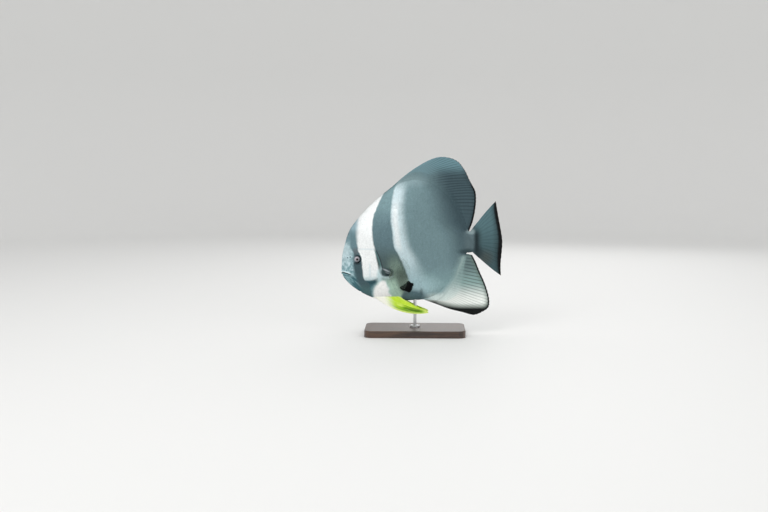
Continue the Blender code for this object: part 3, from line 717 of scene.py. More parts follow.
lines = {  # edges of the markings, as (x, z)
    "firstRear": [(-86, 385), (-95.4, 372), (-107, 350), (-118.4, 323), (-127.4, 295), (-128.4, 268),
                  (-126, 237), (-121.4, 221), (-119.4, 207), (-116.8, 191), (-112.6, 174), (-111, 160),
                  (-112.4, 150), (-117, 141), (-122, 130), (-130, 116)],
    "eyeRear": [(-166, 300), (-167, 281), (-168.2, 257), (-167, 236), (-165, 219), (-160.4, 208),
                (-156.5, 197.6), (-155.2, 182), (-153, 166), (-151.3, 151), (-148.7, 141), (-136, 130),
                (-133, 114), (-129.2, 98)],
    "eyeFront": [(-178, 304), (-185, 278), (-186.6, 250), (-184, 226), (-178, 214), (-176.5, 198),
                 (-177.3, 177), (-174.7, 161), (-170.8, 146), (-165.6, 130), (-155.2, 114), (-142.2, 99)],
    "barRear": [(-46, 420), (-55, 405), (-64, 391), (-70, 379), (-74.6, 361), (-78.5, 335), (-79.8, 296),
                (-75.9, 265), (-72, 231), (-61.6, 210), (-53.8, 192), (-46, 174), (-40.8, 158), (-35, 140),
                (-37, 126), (-46, 112), (-54, 96)],
    "secondRear": [(-26, 420), (-33, 404), (-41, 388), (-47, 374), (-51, 356), (-53, 322), (-48.6, 283),
                   (-43.4, 250), (-35.6, 224), (-25.2, 198), (-20, 172), (-9.6, 140), (-4.4, 118)],
    "gillEdge": [(-126, 229), (-119, 220), (-112, 205), (-106.5, 191), (-103, 178), (-101, 167),
                 (-101, 158), (-103, 149), (-110, 139)],
    "backTop": [(-60, 392), (-40.8, 400), (-12.2, 403), (19, 396), (47.6, 378), (73.6, 351), (94.4, 318),
                (108.7, 287), (118.5, 268)],  # where the dorsal fin begins
    "sheath": [(113, 214), (108.7, 203), (103.5, 187), (97, 171.6), (93, 158.6), (87.9, 145.6), (78.8, 130),
               (68.4, 114.4), (55.4, 98.8), (40, 88)],
    "throatArc": [(-168, 133.5), (-164, 133.5), (-152, 132.5), (-138, 133), (-131, 134), (-124, 136.5),
                  (-115, 141), (-108, 145)],
    "breast": [(-125, 121), (-118, 129), (-109, 137), (-99, 141), (-91, 135), (-86, 122), (-83, 110),
               (-79, 101), (-76, 92), (-98, 80), (-120, 84), (-126, 100)],
    "blotch": [(-34, 139.5), (-28, 134.5), (-21.5, 132.5), (-21.5, 125.5), (-24.5, 117), (-28, 110.5),
               (-35, 109), (-42, 112), (-48, 113), (-53.5, 117), (-56.5, 121.5), (-52, 125.5),
               (-46.5, 129), (-40.5, 133)],
    "analInner": [(0, 86), (21.6, 90), (47.6, 83), (73.6, 76.5), (99.6, 73), (125.6, 72), (138.6, 71.5),
                  (151.6, 71), (163, 70.5), (170, 73), (177, 80)],
    "tailBand": [(140, 4), (152, 6.5), (166, 8), (192, 9.5), (218, 10.5), (244, 9.5), (270, 8.5), (296, 9),
                 (318, 10), (334, 8), (346, 3)],  # z, how wide the black edge is
}
markingsFrom = {"distance": 2753, "height": 472}  # markings keep their outlines from here, on either flank


def edge(z, name):
    return z.curve([(pz, px) for px, pz in lines[name]])


def fishPlace(place):
    # x and z in millimetres, and where these show on the middle plane
    split = place.tree.add("ShaderNodeSeparateXYZ", values={0: place}).socket.node
    x, y, z = [Wire(place.tree, output) * 1000 for output in split.outputs]
    nearer = y.sum("ABSOLUTE") / markingsFrom["distance"]
    return (x, z), (x * (nearer + 1), z + (z - markingsFrom["height"]) * nearer)


def spot(x, z, at, radii, soft=0.35):
    # 1 inside an oval of the side view
    return ((((x - at[0]) / radii[0]) ** 2 + ((z - at[1]) / radii[1]) ** 2) ** 0.5).fall(1 - soft, 1 + soft)


def starSpot(x, z, points, soft):
    # 1 inside a closed outline round its own middle
    cx, cz = [float(c) for c in np.mean(points, axis=0)]
    ring = sorted((math.atan2(pz - cz, px - cx), math.hypot(px - cx, pz - cz)) for px, pz in points)
    ring = [(ring[-1][0] - fullTurn, ring[-1][1]), *ring, (ring[0][0] + fullTurn, ring[0][1])]
    away = ((x - cx) ** 2 + (z - cz) ** 2) ** 0.5
    return (away - (z - cz).sum("ARCTAN2", x - cx).curve(ring)).fall(-soft, soft)


def bodyColours(x, z):
    # silvery grey, darker up and to the rear, paler below
    rearward = x + (z - 317) * 0.25 - z.fall(250, 300) * 18
    coat = Paint(x, z, "body").over("shade", rearward.rise(5, 95)).over("low", z.fall(125, 188) * 0.9)
    coat.spot("glow", 0.6, (2, 121), (40, 24), 0.9)
    coat.over("stem", x.rise(96, 122) * z.rise(206, 216) * z.fall(262, 272) * 0.85)
    # a painted highlight along the top of the tail stem, and painted shade along its underside
    coat.spot("stemPale", 0.9, (130, 267), (13, 6), 0.6).spot("stemDark", 0.75, (120, 216), (22, 7), 0.6)
    outside, low = x - edge(z, "sheath"), z.fall(198, 210)
    sheath = z.rise(90, 152).pick("sheathLow", "sheath")
    coat.over(sheath, outside.rise(-20, 6) * low * 0.9).spot(sheath, 0.85, (46, 92), (40, 13), 0.6)
    coat.over("sheathEdge", outside.stripe(3, 3) * low * 0.4)
    # painted shade darkens the top of the flank, which catches more light than the fin's upright root, and
    # the root is painted lighter to even them out
    above = z - x.curve(lines["backTop"])
    return coat.colour.scaled(above.rise(-5, 2) * 0.11 + 0.98 - above.rise(-26, -4) * 0.06)


def tailColours(x, z):
    # painted shade at the dark root, then grey, brownish towards the lower corner
    tail = Paint(x, z, "tailLow").over("tailTop", z.rise(200, 300))
    tail.spot("tailBrown", 0.55, (166, 196), (18, 18), 0.8).spot("tailBase", 0.7, (147, 211), (13, 14), 0.7)
    return tail.over("tailBase", x.fall(141, 162) * z.rise(200, 222) * z.fall(256, 282) * 0.95).colour


def bandColours(coat, x, z, wx):
    # the white band behind the bar at the gills, then that bar, then the white band of the cheek
    rear, front = edge(z, "secondRear"), edge(z, "barRear")
    second = Paint(x, z, "secondMid").over("secondTop", z.rise(250, 380)).over("secondLow", z.fall(130, 215))
    second.over("white", (wx - front - 11).stripe(7, 6.5) * z.rise(208, 236) * z.fall(315, 362) * 0.62)
    fade = 16 + z.fall(150, 235) * 20
    coat.over(second.colour, wx.fall(rear - 11, rear + fade) * (1 - (z + x * 0.3).rise(345, 392) * 0.94))
    # the second spot is painted shade on the belly's underside
    coat.spot("secondTop", 0.14, (-20, 398), (26, 12), 0.95).spot("belly", 0.85, (-24, 98), (34, 17), 0.4)

    bar = Paint(x, z, "barMid").over("barTop", z.rise(270, 345)).over("barLow", z.fall(185, 245))
    olive = z.fall(128, 150).pick("olive", "oliveLow")
    bar.over(olive, (wx * 0.5 + z).fall(128, 186) * x.rise(-100, -66))
    bar.over("oliveLow", (z + (wx - x) * 3).fall(122, 158)).spot("oliveLow", 0.22, (-64, 176), (17, 20), 0.95)
    coat.over(bar.colour, wx.fall(front - 3, front + 3))
    coat.over("smoke", (wx - front + 2).stripe(4, 3) * z.rise(134, 150) * z.fall(186, 206) * 0.5)
    coat.over("smokeLow", spot(wx + (z - 136) * 0.2, z, (-49, 136), (14, 33), 0.55) * 0.8)

    white = Paint(x, z, "white").over("whiteLow", z.fall(130, 190)).over("jaw", z.fall(138, 154) * 0.62)
    # painted shade along two creases of the white band
    white.over("crease", (z - 221 + (wx - x) * 0.6).stripe(1.8, 1.8) * 0.38)
    white.over("crease", (wx + 134.5).stripe(2, 2) * z.rise(138, 150) * z.fall(176, 190) * 0.45)
    rear = edge(z, "firstRear")
    coat.over(white.colour, wx.fall(rear - 2.4, rear + 2.4))


def throatColours(coat, x, z, wx):
    # below the cheek: green, with painted shade as a dark arc under the gill cover's edge, and a white breast
    coat.over("chin", z.fall(136, 142) * x.fall(-122, -106))
    coat.spot("column", 0.95, (-109.5, 149), (6.5, 20), 0.7)
    wide = starSpot(wx + (wx - x), z, lines["breast"], 10)
    coat.over("breastEdge", wide * 0.8)
    coat.over("breast", wide.rise(0.35, 0.95) * (x - z * 0.3).rise(-167, -151))
    arc = (z - x.curve(lines["throatArc"])).stripe(5, 3.4)
    # painted shade under the lower edge of the gill cover
    coat.over("throat", arc * x.rise(-168, -160) * x.fall(-124, -110) * 0.85)


def gillColours(coat, x, z):
    # the soft rim of the gill cover, and painted shade in the slit behind it
    behind = x - edge(z, "gillEdge")
    near = z.rise(146, 160) * z.fall(214, 226)
    rim = z.rise(160, 182).pick("column", "membrane")
    coat.over(rim, (behind + 3.4).stripe(2.4, 1.6) * near * 0.7)
    coat.over("gillDark", behind.stripe(1.5, 1) * near * 0.75)


def headColours(coat, x, z, wx, place):
    # mottled snout with painted highlights of wet shine, chin, forehead, and the bar through the eye
    patches = noise(place, 120, 4, 0.6)
    fore = Paint(x, z, "snoutDark").over("snout", patches.rise(0.38, 0.62))
    # painted highlights of wet shine, in specks and a larger patch on the snout
    fore.over("speck", patches.rise(0.52, 0.72) * 0.65).spot("speck", 0.6, (-196, 214), (13, 26), 0.95)
    fore.over("forehead", z.rise(226, 250)).over("foreheadTop", z.rise(262, 284))
    slanted = combined((z + x * 0.944) * 0.13, (x - z * 0.944) * 0.02)
    chin = (noise(slanted, 1.0, 3).rise(0.46, 0.66) * 0.75).pick("chin", "jaw")
    fore.over(chin, z.fall(144, 157))
    bar = Paint(x, z, "eyeBarLow").over("eyeBarTop", z.rise(206, 230))
    bar.spot("brow", 0.6, (-171, 216), (7, 8), 0.6)
    bar.over("foreheadTop", z.rise(258, 282)).over("throatLow", z.fall(112, 136))
    rear, front = edge(z, "eyeRear"), edge(z, "eyeFront")
    soft = z.rise(220, 262) * 5 + 2
    coat.over(bar.colour, wx.fall(rear - soft, rear + soft))
    soft = soft + z.fall(136, 186) * 5 + 1
    coat.over(fore.colour, wx.fall(front - soft, front + soft))


def faceColours(coat, x, z):
    # lips, slit, nostrils and the skin round the eye
    ahead, above = mouthAxes(x, z, Wire.clip)
    reach = ahead.rise(-3, 5)
    # the lips: a painted highlight of wet shine on the upper one, the lower one darker
    lips = above.rise(-1, 1).pick("lipLow", "lip")
    coat.over(lips, above.stripe(4.8, 1) * reach * 0.9)
    # the dark slit: the mouth's dark inside, with painted shade in its groove
    coat.over("mouth", above.stripe(1.2, 0.7) * ahead.rise(-3, 1) * 0.85)
    # painted shade in the crease under the lower lip
    coat.over("chin", (above + 6.2).stripe(1.2, 1) * reach * 0.6)
    for nx, nz, radius in face["nostrils"]:
        coat.spot("nostril", 1, (nx, nz), (radius, radius), 0.4)
    ex, ez = face["eye"]
    coat.over("orbit", (((x - ex) ** 2 + (z - ez) ** 2) ** 0.5).fall(10.6, 12.6))
    coat.spot("underEye", 0.7, (ex, ez - 11), (8, 3), 0.5)


def baseColours(coat, x, z):
    # the lobe that carries the pectoral fin: a dark ring, a painted highlight as a pale crescent above,
    # painted shadow in black below
    bx, bz, length, height, _ = gills["pectoralBase"]
    halo = spot(x, z, (bx - 4, bz - 4), (length * 1.2, height * 1.2), 0.25) * z.fall(bz - 13, bz - 3)
    coat.over("column", halo * 0.6)
    coat.spot("smoke", 0.9, (bx - 2.5, bz), (length + 1.5, height), 0.25)
    coat.spot("lobe", 1, (bx, bz), (length * 0.7, height * 0.7), 0.4)
    down = z + (x - bx) * 0.42
    # painted highlights on the top of the lobe
    coat.over("lobePale", spot(x, down, (bx - 4, bz + 3.4), (9, 2.2), 0.6) * 0.75)
    coat.over("lobePale", spot(x, down, (bx, bz - 2), (6, 1.4), 0.6) * 0.35)
    # painted shadow under the lobe
    coat.spot("underEye", 0.9, (bx + 3, bz - 7), (10, 3), 0.5)


def blotchMask(place, x, z):
    ragged = (noise(place, 330, 4, 0.65) - 0.5) * 9
    return starSpot(x + ragged, z - ragged * 0.7, lines["blotch"], 1.3)


def markings(place, true, seen):
    x, z = seen
    wx = x + (noise(place, 90, 3) - 0.5) * 4
    coat = Paint(x, z, bodyColours(x, z)).over(tailColours(x, z), x.rise(131, 142))
    bandColours(coat, x, z, wx)
    throatColours(coat, x, z, wx)
    gillColours(coat, x, z)
    headColours(coat, x, z, wx, place)
    coat.x, coat.z = true
    faceColours(coat, *true)
    baseColours(coat, *true)
    coat.x, coat.z = seen
    coat.spot("smoke", 0.5, (-0.5, 111), (4, 9), 0.6)
    streaks = noise(stretched(place, (1, 1, 0.2)), 230, 3)
    return blotchMask(place, x, z).pick(coat.colour.scaled(streaks * 0.2 + 0.9), "blotch")


def mottled(colour, place, broad):
    return colour.scaled(noise(place, 260, 4) * 0.14 + noise(place, broad, 3) * 0.12 + 0.87)


def skinMaterial(name, scaly):
    made, tree, place = newMaterial(name)
    true, seen = fishPlace(place)
    colour = mottled(markings(place, true, seen), place, 38)
    if scaly:
        colour = colour.scaled(attribute(tree, "tone") * (1.04 - attribute(tree, "rim") * 0.1))
    grain = noise(place, 1600, 2) if scaly else noise(place, 900, 4)
    rough = noise(place, 500, 2) * 0.16 + blotchMask(place, *seen) * 0.3 + 0.34
    finishMaterial(tree, {"Base Color": colour, "Roughness": rough, "Metallic": 0.28,
                          "Specular IOR Level": 0.14, "Normal": bumped(grain, 0.0004)})
    return made


def rayed(colour, marks, depth):
    # dark thin lines between the rays, which are a little lighter themselves
    dark = (marks["phase"].sum("PINGPONG", 0.5) * 2).rise(0.45, 0.95) * depth
    return colour.scaled(1 - dark * (1 - marks["onRay"])).scaled(1 + marks["onRay"] * 0.12)


def dorsalLook(place, true, seen, marks):
    (x, z), along, left = seen, marks["along"], marks["toEdge"]
    fin = Paint(x, z, markings(place, true, seen)).over("dorsalTip", z.rise(408, 444) * 0.8)
    fin.over("dorsalFront", x.fall(0, 50) * z.rise(402, 424) * 0.85)
    lined = along.rise(0.08, 0.3) * along.fall(0.92, 1) * z.rise(290, 345)
    colour = rayed(fin.colour, marks, lined * 0.38).scaled(1 - left.fall(3, 16) * x.rise(96, 118) * 0.22)
    wide = left.fall(3.6, 6) * z.fall(383, 393)
    thin = left.fall(0.8, 2) * x.rise(50, 80) * 0.8
    return wide.sum("MAXIMUM", thin).pick(colour, "black")


def analLook(place, true, seen, marks):
    (x, z), along, left = seen, marks["along"], marks["toEdge"]
    outer = Paint(x, z, "analMid").over("analTop", z.rise(130, 185)).over("cream", z.fall(88, 138))
    colour = along.rise(0.03, 0.34).pick(markings(place, true, seen), outer.colour)
    colour = rayed(colour, marks, along.rise(0.2, 0.4) * (z.rise(86, 124) * 0.22 + 0.22))
    over, rear = z - x.curve(lines["analInner"]), x.rise(110, 130)
    fin = Paint(x, z, colour).over("analShade", over.fall(0, 9) * 0.55)
    fin.over("analShade", left.fall(3, 19) * rear * 0.62)
    return fin.over("analEdge", over.fall(-9, 3).sum("MAXIMUM", left.fall(3, 6.5) * rear)).colour


def caudalLook(place, true, seen, marks):
    x, z = seen
    colour = rayed(tailColours(x, z), marks, marks["along"].rise(0.15, 0.4) * 0.14)
    fin = Paint(x, z, colour).over(markings(place, true, seen), x.fall(134, 142))
    inside = marks["toEdge"] - z.curve(lines["tailBand"])
    return fin.over("black", inside.fall(-3, 17) * 0.5).over("black", inside.fall(-3, 4)).colour


def pectoralLook(place, true, seen, marks):
    return rayed((marks["along"] * 0.5).pick("pectoral", "olive"), marks, 0.2)


def pelvicLook(place, true, seen, marks):
    # yellow above and green below in long streaks, partly its own colours and partly painted light from above
    # and painted shade below; white at its root, with pale painted highlights in streaks and along its edges
    (x, z), across = seen, marks["across"]
    fibres = combined(across * 14, marks["along"] * 2.4)
    streaks = noise(fibres, 1.0, 3) - 0.5
    upper = across + streaks * 1.9 + x.fall(-86, -38) * 0.3
    fin = Paint(x, z, "green").over("yellow", upper.rise(0.15, 0.7))
    # painted highlights in pale streaks
    fin.over("pelvicLight", noise(fibres, 1.7, 3).rise(0.52, 0.68) * 0.7)
    # painted shade along a fold of the fin
    fold = (across - 0.34 + streaks * 0.4).stripe(0.1, 0.09) * x.rise(-54, -30)
    fin.over("fold", fold * x.fall(-8, 6) * 0.9)
    # painted highlights along both edges
    fin.over("pelvicLight", across.fall(0.05, 0.2) * 0.75 + across.rise(0.84, 0.97) * 0.6)
    fin.over("pelvicBase", (x + across * 20 + streaks * 30).fall(-96, -56))
    return fin.over("pelvicLight", x.rise(-2, 12) * 0.7).colour


finLooks = {"dorsal": dorsalLook, "anal": analLook, "caudal": caudalLook, "pectoral": pectoralLook,
            "pelvic": pelvicLook}


def finMaterial(kind):
    made, tree, place = newMaterial(kind + "Fin")
    true, seen = fishPlace(place)
    marks = {key: attribute(tree, key) for key in ("across", "along", "onRay", "phase", "toEdge")}
    colour = mottled(finLooks[kind](place, true, seen, marks), place, 45)
    alpha = 1.0
    if kind == "pectoral":
        alpha = 0.5 - marks["along"].rise(0.0, 0.1) * (0.47 - marks["onRay"] * 0.11)
    finishMaterial(tree, {"Base Color": colour, "Roughness": 0.5, "Specular IOR Level": 0.14,
                          "Alpha": alpha, "Normal": bumped(noise(place, 1300, 3), 0.0003)})
    return made


# rays as tubes, by nodes

def startTree(name, sockets):
    tree = bpy.data.node_groups.new(name, "GeometryNodeTree")
    for way in ("INPUT", "OUTPUT"):
        tree.interface.new_socket("Geometry", in_out=way, socket_type="NodeSocketGeometry")
    names = {}
    for label, kind, default in sockets:
        socket = tree.interface.new_socket(label, in_out="INPUT", socket_type="NodeSocket" + kind)
        if default is not None:
            socket.default_value = default
        names[label] = socket.identifier
    nodes = Tree(tree)
    entry = nodes.add("NodeGroupInput").socket.node
    return tree, nodes, {s.name: Wire(nodes, s) for s in entry.outputs}, names


def endTree(nodes, geometry, material):
    last = nodes.add("GeometryNodeSetMaterial", {}, {"Geometry": geometry, "Material": material})
    nodes.add("NodeGroupOutput", values={"Geometry": last})


def runTree(mesh, tree, names, values):
    carrier = newObject("carrier", mesh)
    modifier = carrier.modifiers.new("nodes", "NODES")
    modifier.node_group = tree
    for label, value in values.items():
        modifier[names[label]] = value
    graph = bpy.context.evaluated_depsgraph_get()
    graph.update()
    made = bpy.data.meshes.new_from_object(
        carrier.evaluated_get(graph), preserve_all_data_layers=True, depsgraph=graph)
    bpy.data.objects.remove(carrier)
    bpy.data.meshes.remove(mesh)
    return made


rayTree = [("Sides", "Int", 6), ("Step", "Float", 0.9 * mm), ("Joint", "Float", 2.6 * mm),
           ("Joint depth", "Float", 0.13), ("Material", "Material", None)]


def buildRayTree():
    tree, nodes, socket, names = startTree("finRays", rayTree)
    path = nodes.add("GeometryNodeMeshToCurve", {}, {"Mesh": socket["Geometry"]})
    path = nodes.add("GeometryNodeResampleCurve", {"mode": "LENGTH"},
                     {"Curve": path, "Length": socket["Step"]})
    length = nodes.add("GeometryNodeSplineParameter", output=1)
    wave = (length / socket["Joint"] * fullTurn).sum("COSINE")
    thick = nodes.add("GeometryNodeInputNamedAttribute", {"data_type": "FLOAT"}, {"Name": "thick"})
    ring = nodes.add("GeometryNodeCurvePrimitiveCircle", {"mode": "RADIUS"},
                     {"Resolution": socket["Sides"], "Radius": 1.0})
    tubes = nodes.add("GeometryNodeCurveToMesh", {}, {
        "Curve": path, "Profile Curve": ring, "Scale": thick * (1 + wave * socket["Joint depth"]),
        "Fill Caps": True})
    marked = nodes.add("GeometryNodeStoreNamedAttribute", {"data_type": "FLOAT", "domain": "POINT"},
                       {"Geometry": tubes, "Name": "onRay", "Value": 1.0})
    real = nodes.add("GeometryNodeRealizeInstances", {}, {"Geometry": marked})
    endTree(nodes, real, socket["Material"])
    return tree, names


def mirroredMesh(mesh):
    made = mesh.copy()
    made.transform(Matrix.Diagonal((1, -1, 1, 1)))
    made.flip_normals()
    return made


def buildFins():
    tree, names = buildRayTree()
    for kind, fin in fins.items():
        material = finMaterial(kind)
        web = finWeb(kind + "Web", fin)
        rays = runTree(rayLines(kind + "Lines", fin), tree, names, {"Material": material})
        for part, mesh in (("Web", web), ("Rays", rays)):
            if kind in ("pectoral", "pelvic"):
                right = mirroredMesh(mesh)
                newPiece(kind + part + "Left", mesh, material, [kind + "_fin_left"])
                newPiece(kind + part + "Right", right, material, [kind + "_fin_right"])
            else:
                newPiece(kind + part, mesh, material, [kind + "_fin"])
        print("fin", kind, len(web.polygons), len(rays.polygons))


# eyes

eyes = {
    "at": (-166, 197), "radius": 12, "halfDepth": 7.4, "sunk": 4.9,
    "cornea": (8.2, 0.9), "limbus": (8.9, 0.7, 0.35), "pupil": 3.1, "iris": 7, "pupilDip": 0.25,
    "rings": 40, "segments": 64, "merge": 1e-7,
    "dark": (80, 88, 96), "lit": (174, 167, 175), "rim": (206, 198, 200), "hole": (0, 1, 2),
    "outer": (56, 74, 80), "outerHighlight": (112, 134, 141), "outerLow": (4, 8, 10), "outerTop": (28, 40, 45),
}


def eyeMesh(side):
    lat, turn = np.meshgrid(np.linspace(0, math.pi, eyes["rings"]),
                            np.linspace(0, fullTurn, eyes["segments"], endpoint=False), indexing="ij")
    ex, ez = eyes["at"]
    (cornea, bulge), (limbus, width, dip) = eyes["cornea"], eyes["limbus"]
    radius = eyes["radius"] * np.sin(lat)
    front = bulge * np.maximum(0, 1 - (radius / cornea) ** 2) - dip * hump(radius - limbus, width)
    front -= eyes["pupilDip"] * np.exp(-((radius / eyes["pupil"]) ** 4))
    depth = eyes["halfDepth"] * np.cos(lat) + np.where(lat < math.pi / 2, front, 0) - eyes["sunk"]
    skin = halfWidthAt(np.array([ex]), np.array([ez]))[0]
    points = np.stack([ex + radius * np.cos(turn), side * (skin + depth), ez + radius * np.sin(turn)], -1)
    index = np.arange(lat.size).reshape(lat.shape)
    mesh = newMesh("eye", points.reshape(-1, 3), gridFaces(np.hstack([index, index[:, :1]])))
    return facedOutward(mesh, eyes["merge"])


def eyeMaterial():
    made, tree, place = newMaterial("eye")
    (x, z), _ = fishPlace(place)
    dx, dz = x - eyes["at"][0], z - eyes["at"][1]
    away = (dx**2 + dz**2) ** 0.5 + (noise(place, 400, 3) - 0.5) * 0.5
    turn = dz.sum("ARCTAN2", dx)
    spokes = noise(combined(turn.sum("COSINE") * 6, turn.sum("SINE") * 6, away * 0.5), 1.6, 4)
    iris, pupil = eyes["iris"], eyes["pupil"]
    lit = ((dz - dx) * 0.5 + spokes * 5).rise(-2, 7)  # paler above and in front
    # a painted highlight on the front of the dark ring round the iris
    outer = Paint(x, z, eyes["outer"]).over(eyes["outerHighlight"], (dx + spokes * 3).fall(-10, 3))
    outer.over(eyes["outerLow"], (dz - dx * 0.3 + spokes * 2).fall(-8, -1))
    outer.over(eyes["outerTop"], (dz + dx * 0.3 + spokes * 2).rise(3, 10) * 0.85)
    eye = Paint(x, z, eyes["dark"]).over(eyes["lit"], lit)
    eye.over(eyes["rim"], (away - pupil - 0.8).stripe(0.5, 0.3) * 0.5)
    eye.over(outer.colour, away.rise(iris - 0.9, iris + 0.7))
    eye.over(eyes["hole"], away.fall(pupil - 0.2, pupil + 0.15))
    finishMaterial(tree, {"Base Color": eye.colour, "Roughness": 0.2, "Specular IOR Level": 0.15,
                          "Coat Weight": 0.3, "Coat Roughness": 0.05})
    return made


def buildEyes():
    material = eyeMaterial()
    for name, side in (("Left", -1), ("Right", 1)):
        newPiece("eye" + name, eyeMesh(side), material, ["eye_" + name.lower()])
    print("eyes")


# scales

scales = {
    "pitch": 4.3, "rowPitch": 4.6,  # along the fish and across it, on the middle of the flank
    # how much of that pitch there is at places along the flank, measured from its middle
    "shrink": [(-150, 0.62), (-95, 0.68), (-60, 0.8), (-20, 1), (90, 1), (150, 0.8), (205, 0.62)],
    "ends": (-165, 215), "rows": 150, "reach": 230,  # the flattened flank, from its middle
    "headPitch": 2.8, "headRowPitch": 3.0, "headShrink": 0.68,  # where the head's pitch is its own
    "finPitch": 2.9, "finLines": 0.2, "finStart": -1,  # how many pitches inside the body it begins
    "finSamples": 200, "finLevel": 0.3, "finFade": 0.4, "finSunk": 0.1, "finNudge": (0.05, 0.01),
    "ridgePitch": 2.8, "ridgeProbe": 0.5, "rimLeft": 0.5,
    "ridgeBack": [(-196, -78), (119, 131)], "ridgeBelly": [(-172, 8), (112, 131)],
    "length": 1.5, "width": 1.14,  # a scale's own size, as a share of its pitch
    "lift": 0.3, "sink": 0.22, "thick": 0.12, "crown": 0.12,
    "jitter": 0.05, "turn": 0.05, "toneSpread": 0.07, "sharp": 50, "seed": 7,
    "poredWidth": 2.0, "poredDark": 0.05,  # the scales of the lateral line
    "patch": 0.003, "unwrap": 0.0022, "flankCentre": (25, 15), "finCentre": (0, 20),
    "finSides": [(1, 60), (-1, -120)],  # how far apart a fin's two sides are on the colour map
    "splitAt": 2,  # x where the coat of the trunk is parted into two pieces
    "headEnd": [(-84, 410), (-100, 350), (-116, 296), (-123, 252), (-120, 229), (-112, 216), (-102, 191),
                (-99, 168), (-103, 147), (-113, 127), (-119, 106), (-122, 80)],
    "nakedEye": 14.2, "nakedMouth": (8.5, -6), "nakedNostril": 2.6, "nakedThroat": 1.6, "nakedBase": 0.95,
    "nakedGill": 2.4, "nakedGillFrom": -130,
    "nearBare": (0.7, 20), "nearRim": (0.62, 22),  # share of the size there, and over how far it grows
    "least": 0.5, "poredLift": 0.4, "probe": 0.6,
    "nakedSnout": [(-180, 120), (-184, 152), (-187, 176), (-187, 214), (-193, 236), (-215, 250)],
}
lateralLine = splinePoints([(-124, 236), (-105, 272), (-75, 303), (-40, 320), (0, 318), (40, 299), (75, 272),
                            (105, 252), (134, 244)], 6)


def scaleForm():
    # one scale, a thin shield with x towards its free edge and its root at the other end:
    # points 0 to 6 are its free edge, 7 to 10 its sides, 11 and 12 its middle, 13 to 19 below the edge
    rim = [(0.02 + 0.48 * math.cos(a), 0.5 * math.sin(a)) for a in np.radians(np.arange(-90, 91, 30))]
    upper = rim + [(-0.2, 0.44), (-0.5, 0.2), (-0.5, -0.2), (-0.2, -0.44), (0.12, 0), (-0.24, 0)]
    flat = np.array(upper + rim)
    x, y = flat.T
    lift, sink, crown, thick = [scales[key] for key in ("lift", "sink", "crown", "thick")]
    number = np.arange(len(flat))
    z = (lift + sink) * (x + 0.5) - sink + np.where(number < len(upper), crown * (1 - 4 * y * y), -thick)
    faces = [(11, k, k + 1) for k in range(6)]
    faces += [(11, 6, 7, 12), (11, 12, 10, 0), (12, 7, 8), (12, 8, 9), (12, 9, 10)]
    faces += [(k, k + 13, k + 14, k + 1) for k in range(6)]
    faces += [(6, 19, 7), (0, 10, 13), (10, 9, 8, 7, *range(19, 12, -1))]
    marks = {"local": np.stack([x, y, 0 * x], 1), "rim": ~np.isin(number, (11, 12))}
    mesh = newMesh("scaleForm", np.stack([x / mm, y / mm, z], 1), faces, marks)
    return newObject("scaleForm", facedOutward(mesh))


def buildScaleTree():
    tree, nodes, socket, names = startTree("scaleCoat", [
        ("Scale", "Object", None), ("Patch", "Float", scales["patch"]), ("Material", "Material", None)])
    upward, lie, size, local, root = [
        nodes.add("GeometryNodeInputNamedAttribute", {"data_type": "FLOAT_VECTOR"}, {"Name": name})
        for name in ("upward", "lie", "size", "local", "root")]
    form = nodes.add("GeometryNodeObjectInfo", {}, {"Object": socket["Scale"]}, 4)
    turn = nodes.add("FunctionNodeAxesToRotation", {"primary_axis": "Z", "secondary_axis": "X"},
                     {0: upward, 1: lie})
    coat = nodes.add("GeometryNodeInstanceOnPoints", {}, {
        "Points": socket["Geometry"], "Instance": form, "Rotation": turn, "Scale": size})
    coat = nodes.add("GeometryNodeRealizeInstances", {}, {"Geometry": coat})
    place = nodes.add("ShaderNodeVectorMath", {"operation": "ADD"},
                      {0: root, 1: local.scaled(socket["Patch"])})
    coat = nodes.add("GeometryNodeStoreNamedAttribute", {"data_type": "FLOAT2", "domain": "CORNER"},
                     {"Geometry": coat, "Name": "OFBake", "Value": place})
    endTree(nodes, coat, socket["Material"])
    return tree, names


def onSphere(spin, tilt, side=1):
    return np.stack([np.cos(spin) * np.sin(tilt), np.sin(spin) * np.sin(tilt), side * np.cos(tilt)], 1)


def flankTables():
    # how far each place of the flank is from its middle, along the skin
    tilts = np.linspace(0, math.pi / 2, 90)
    tables = []
    for turn in range(len(outline)):
        line = onBody(onSphere(turn / len(outline) * fullTurn, tilts))
        line[:, 1] -= sway(line[:, 0])
        tables.append(runAlong(line))
    return tilts, np.array(tables)


tilts, farTable = flankTables()
turnAngles = np.append((outlineAngles[0] - outlineAngles) % fullTurn, fullTurn)


def onFlank(flat, side):
    # places on the skin for places on the flattened flank, and how far they are from its rim
    far, angle = np.hypot(*flat.T), np.arctan2(flat[:, 1], flat[:, 0])
    turn = np.interp((outlineAngles[0] - angle) % fullTurn, turnAngles, np.arange(len(outline) + 1.0))
    rows = np.round(turn).astype(int) % len(outline)
    tilt = np.array([np.interp(f, farTable[r], tilts) for f, r in zip(far, rows)])
    return onBody(onSphere(turn / len(outline) * fullTurn, tilt, side)), farTable[rows, -1] - far


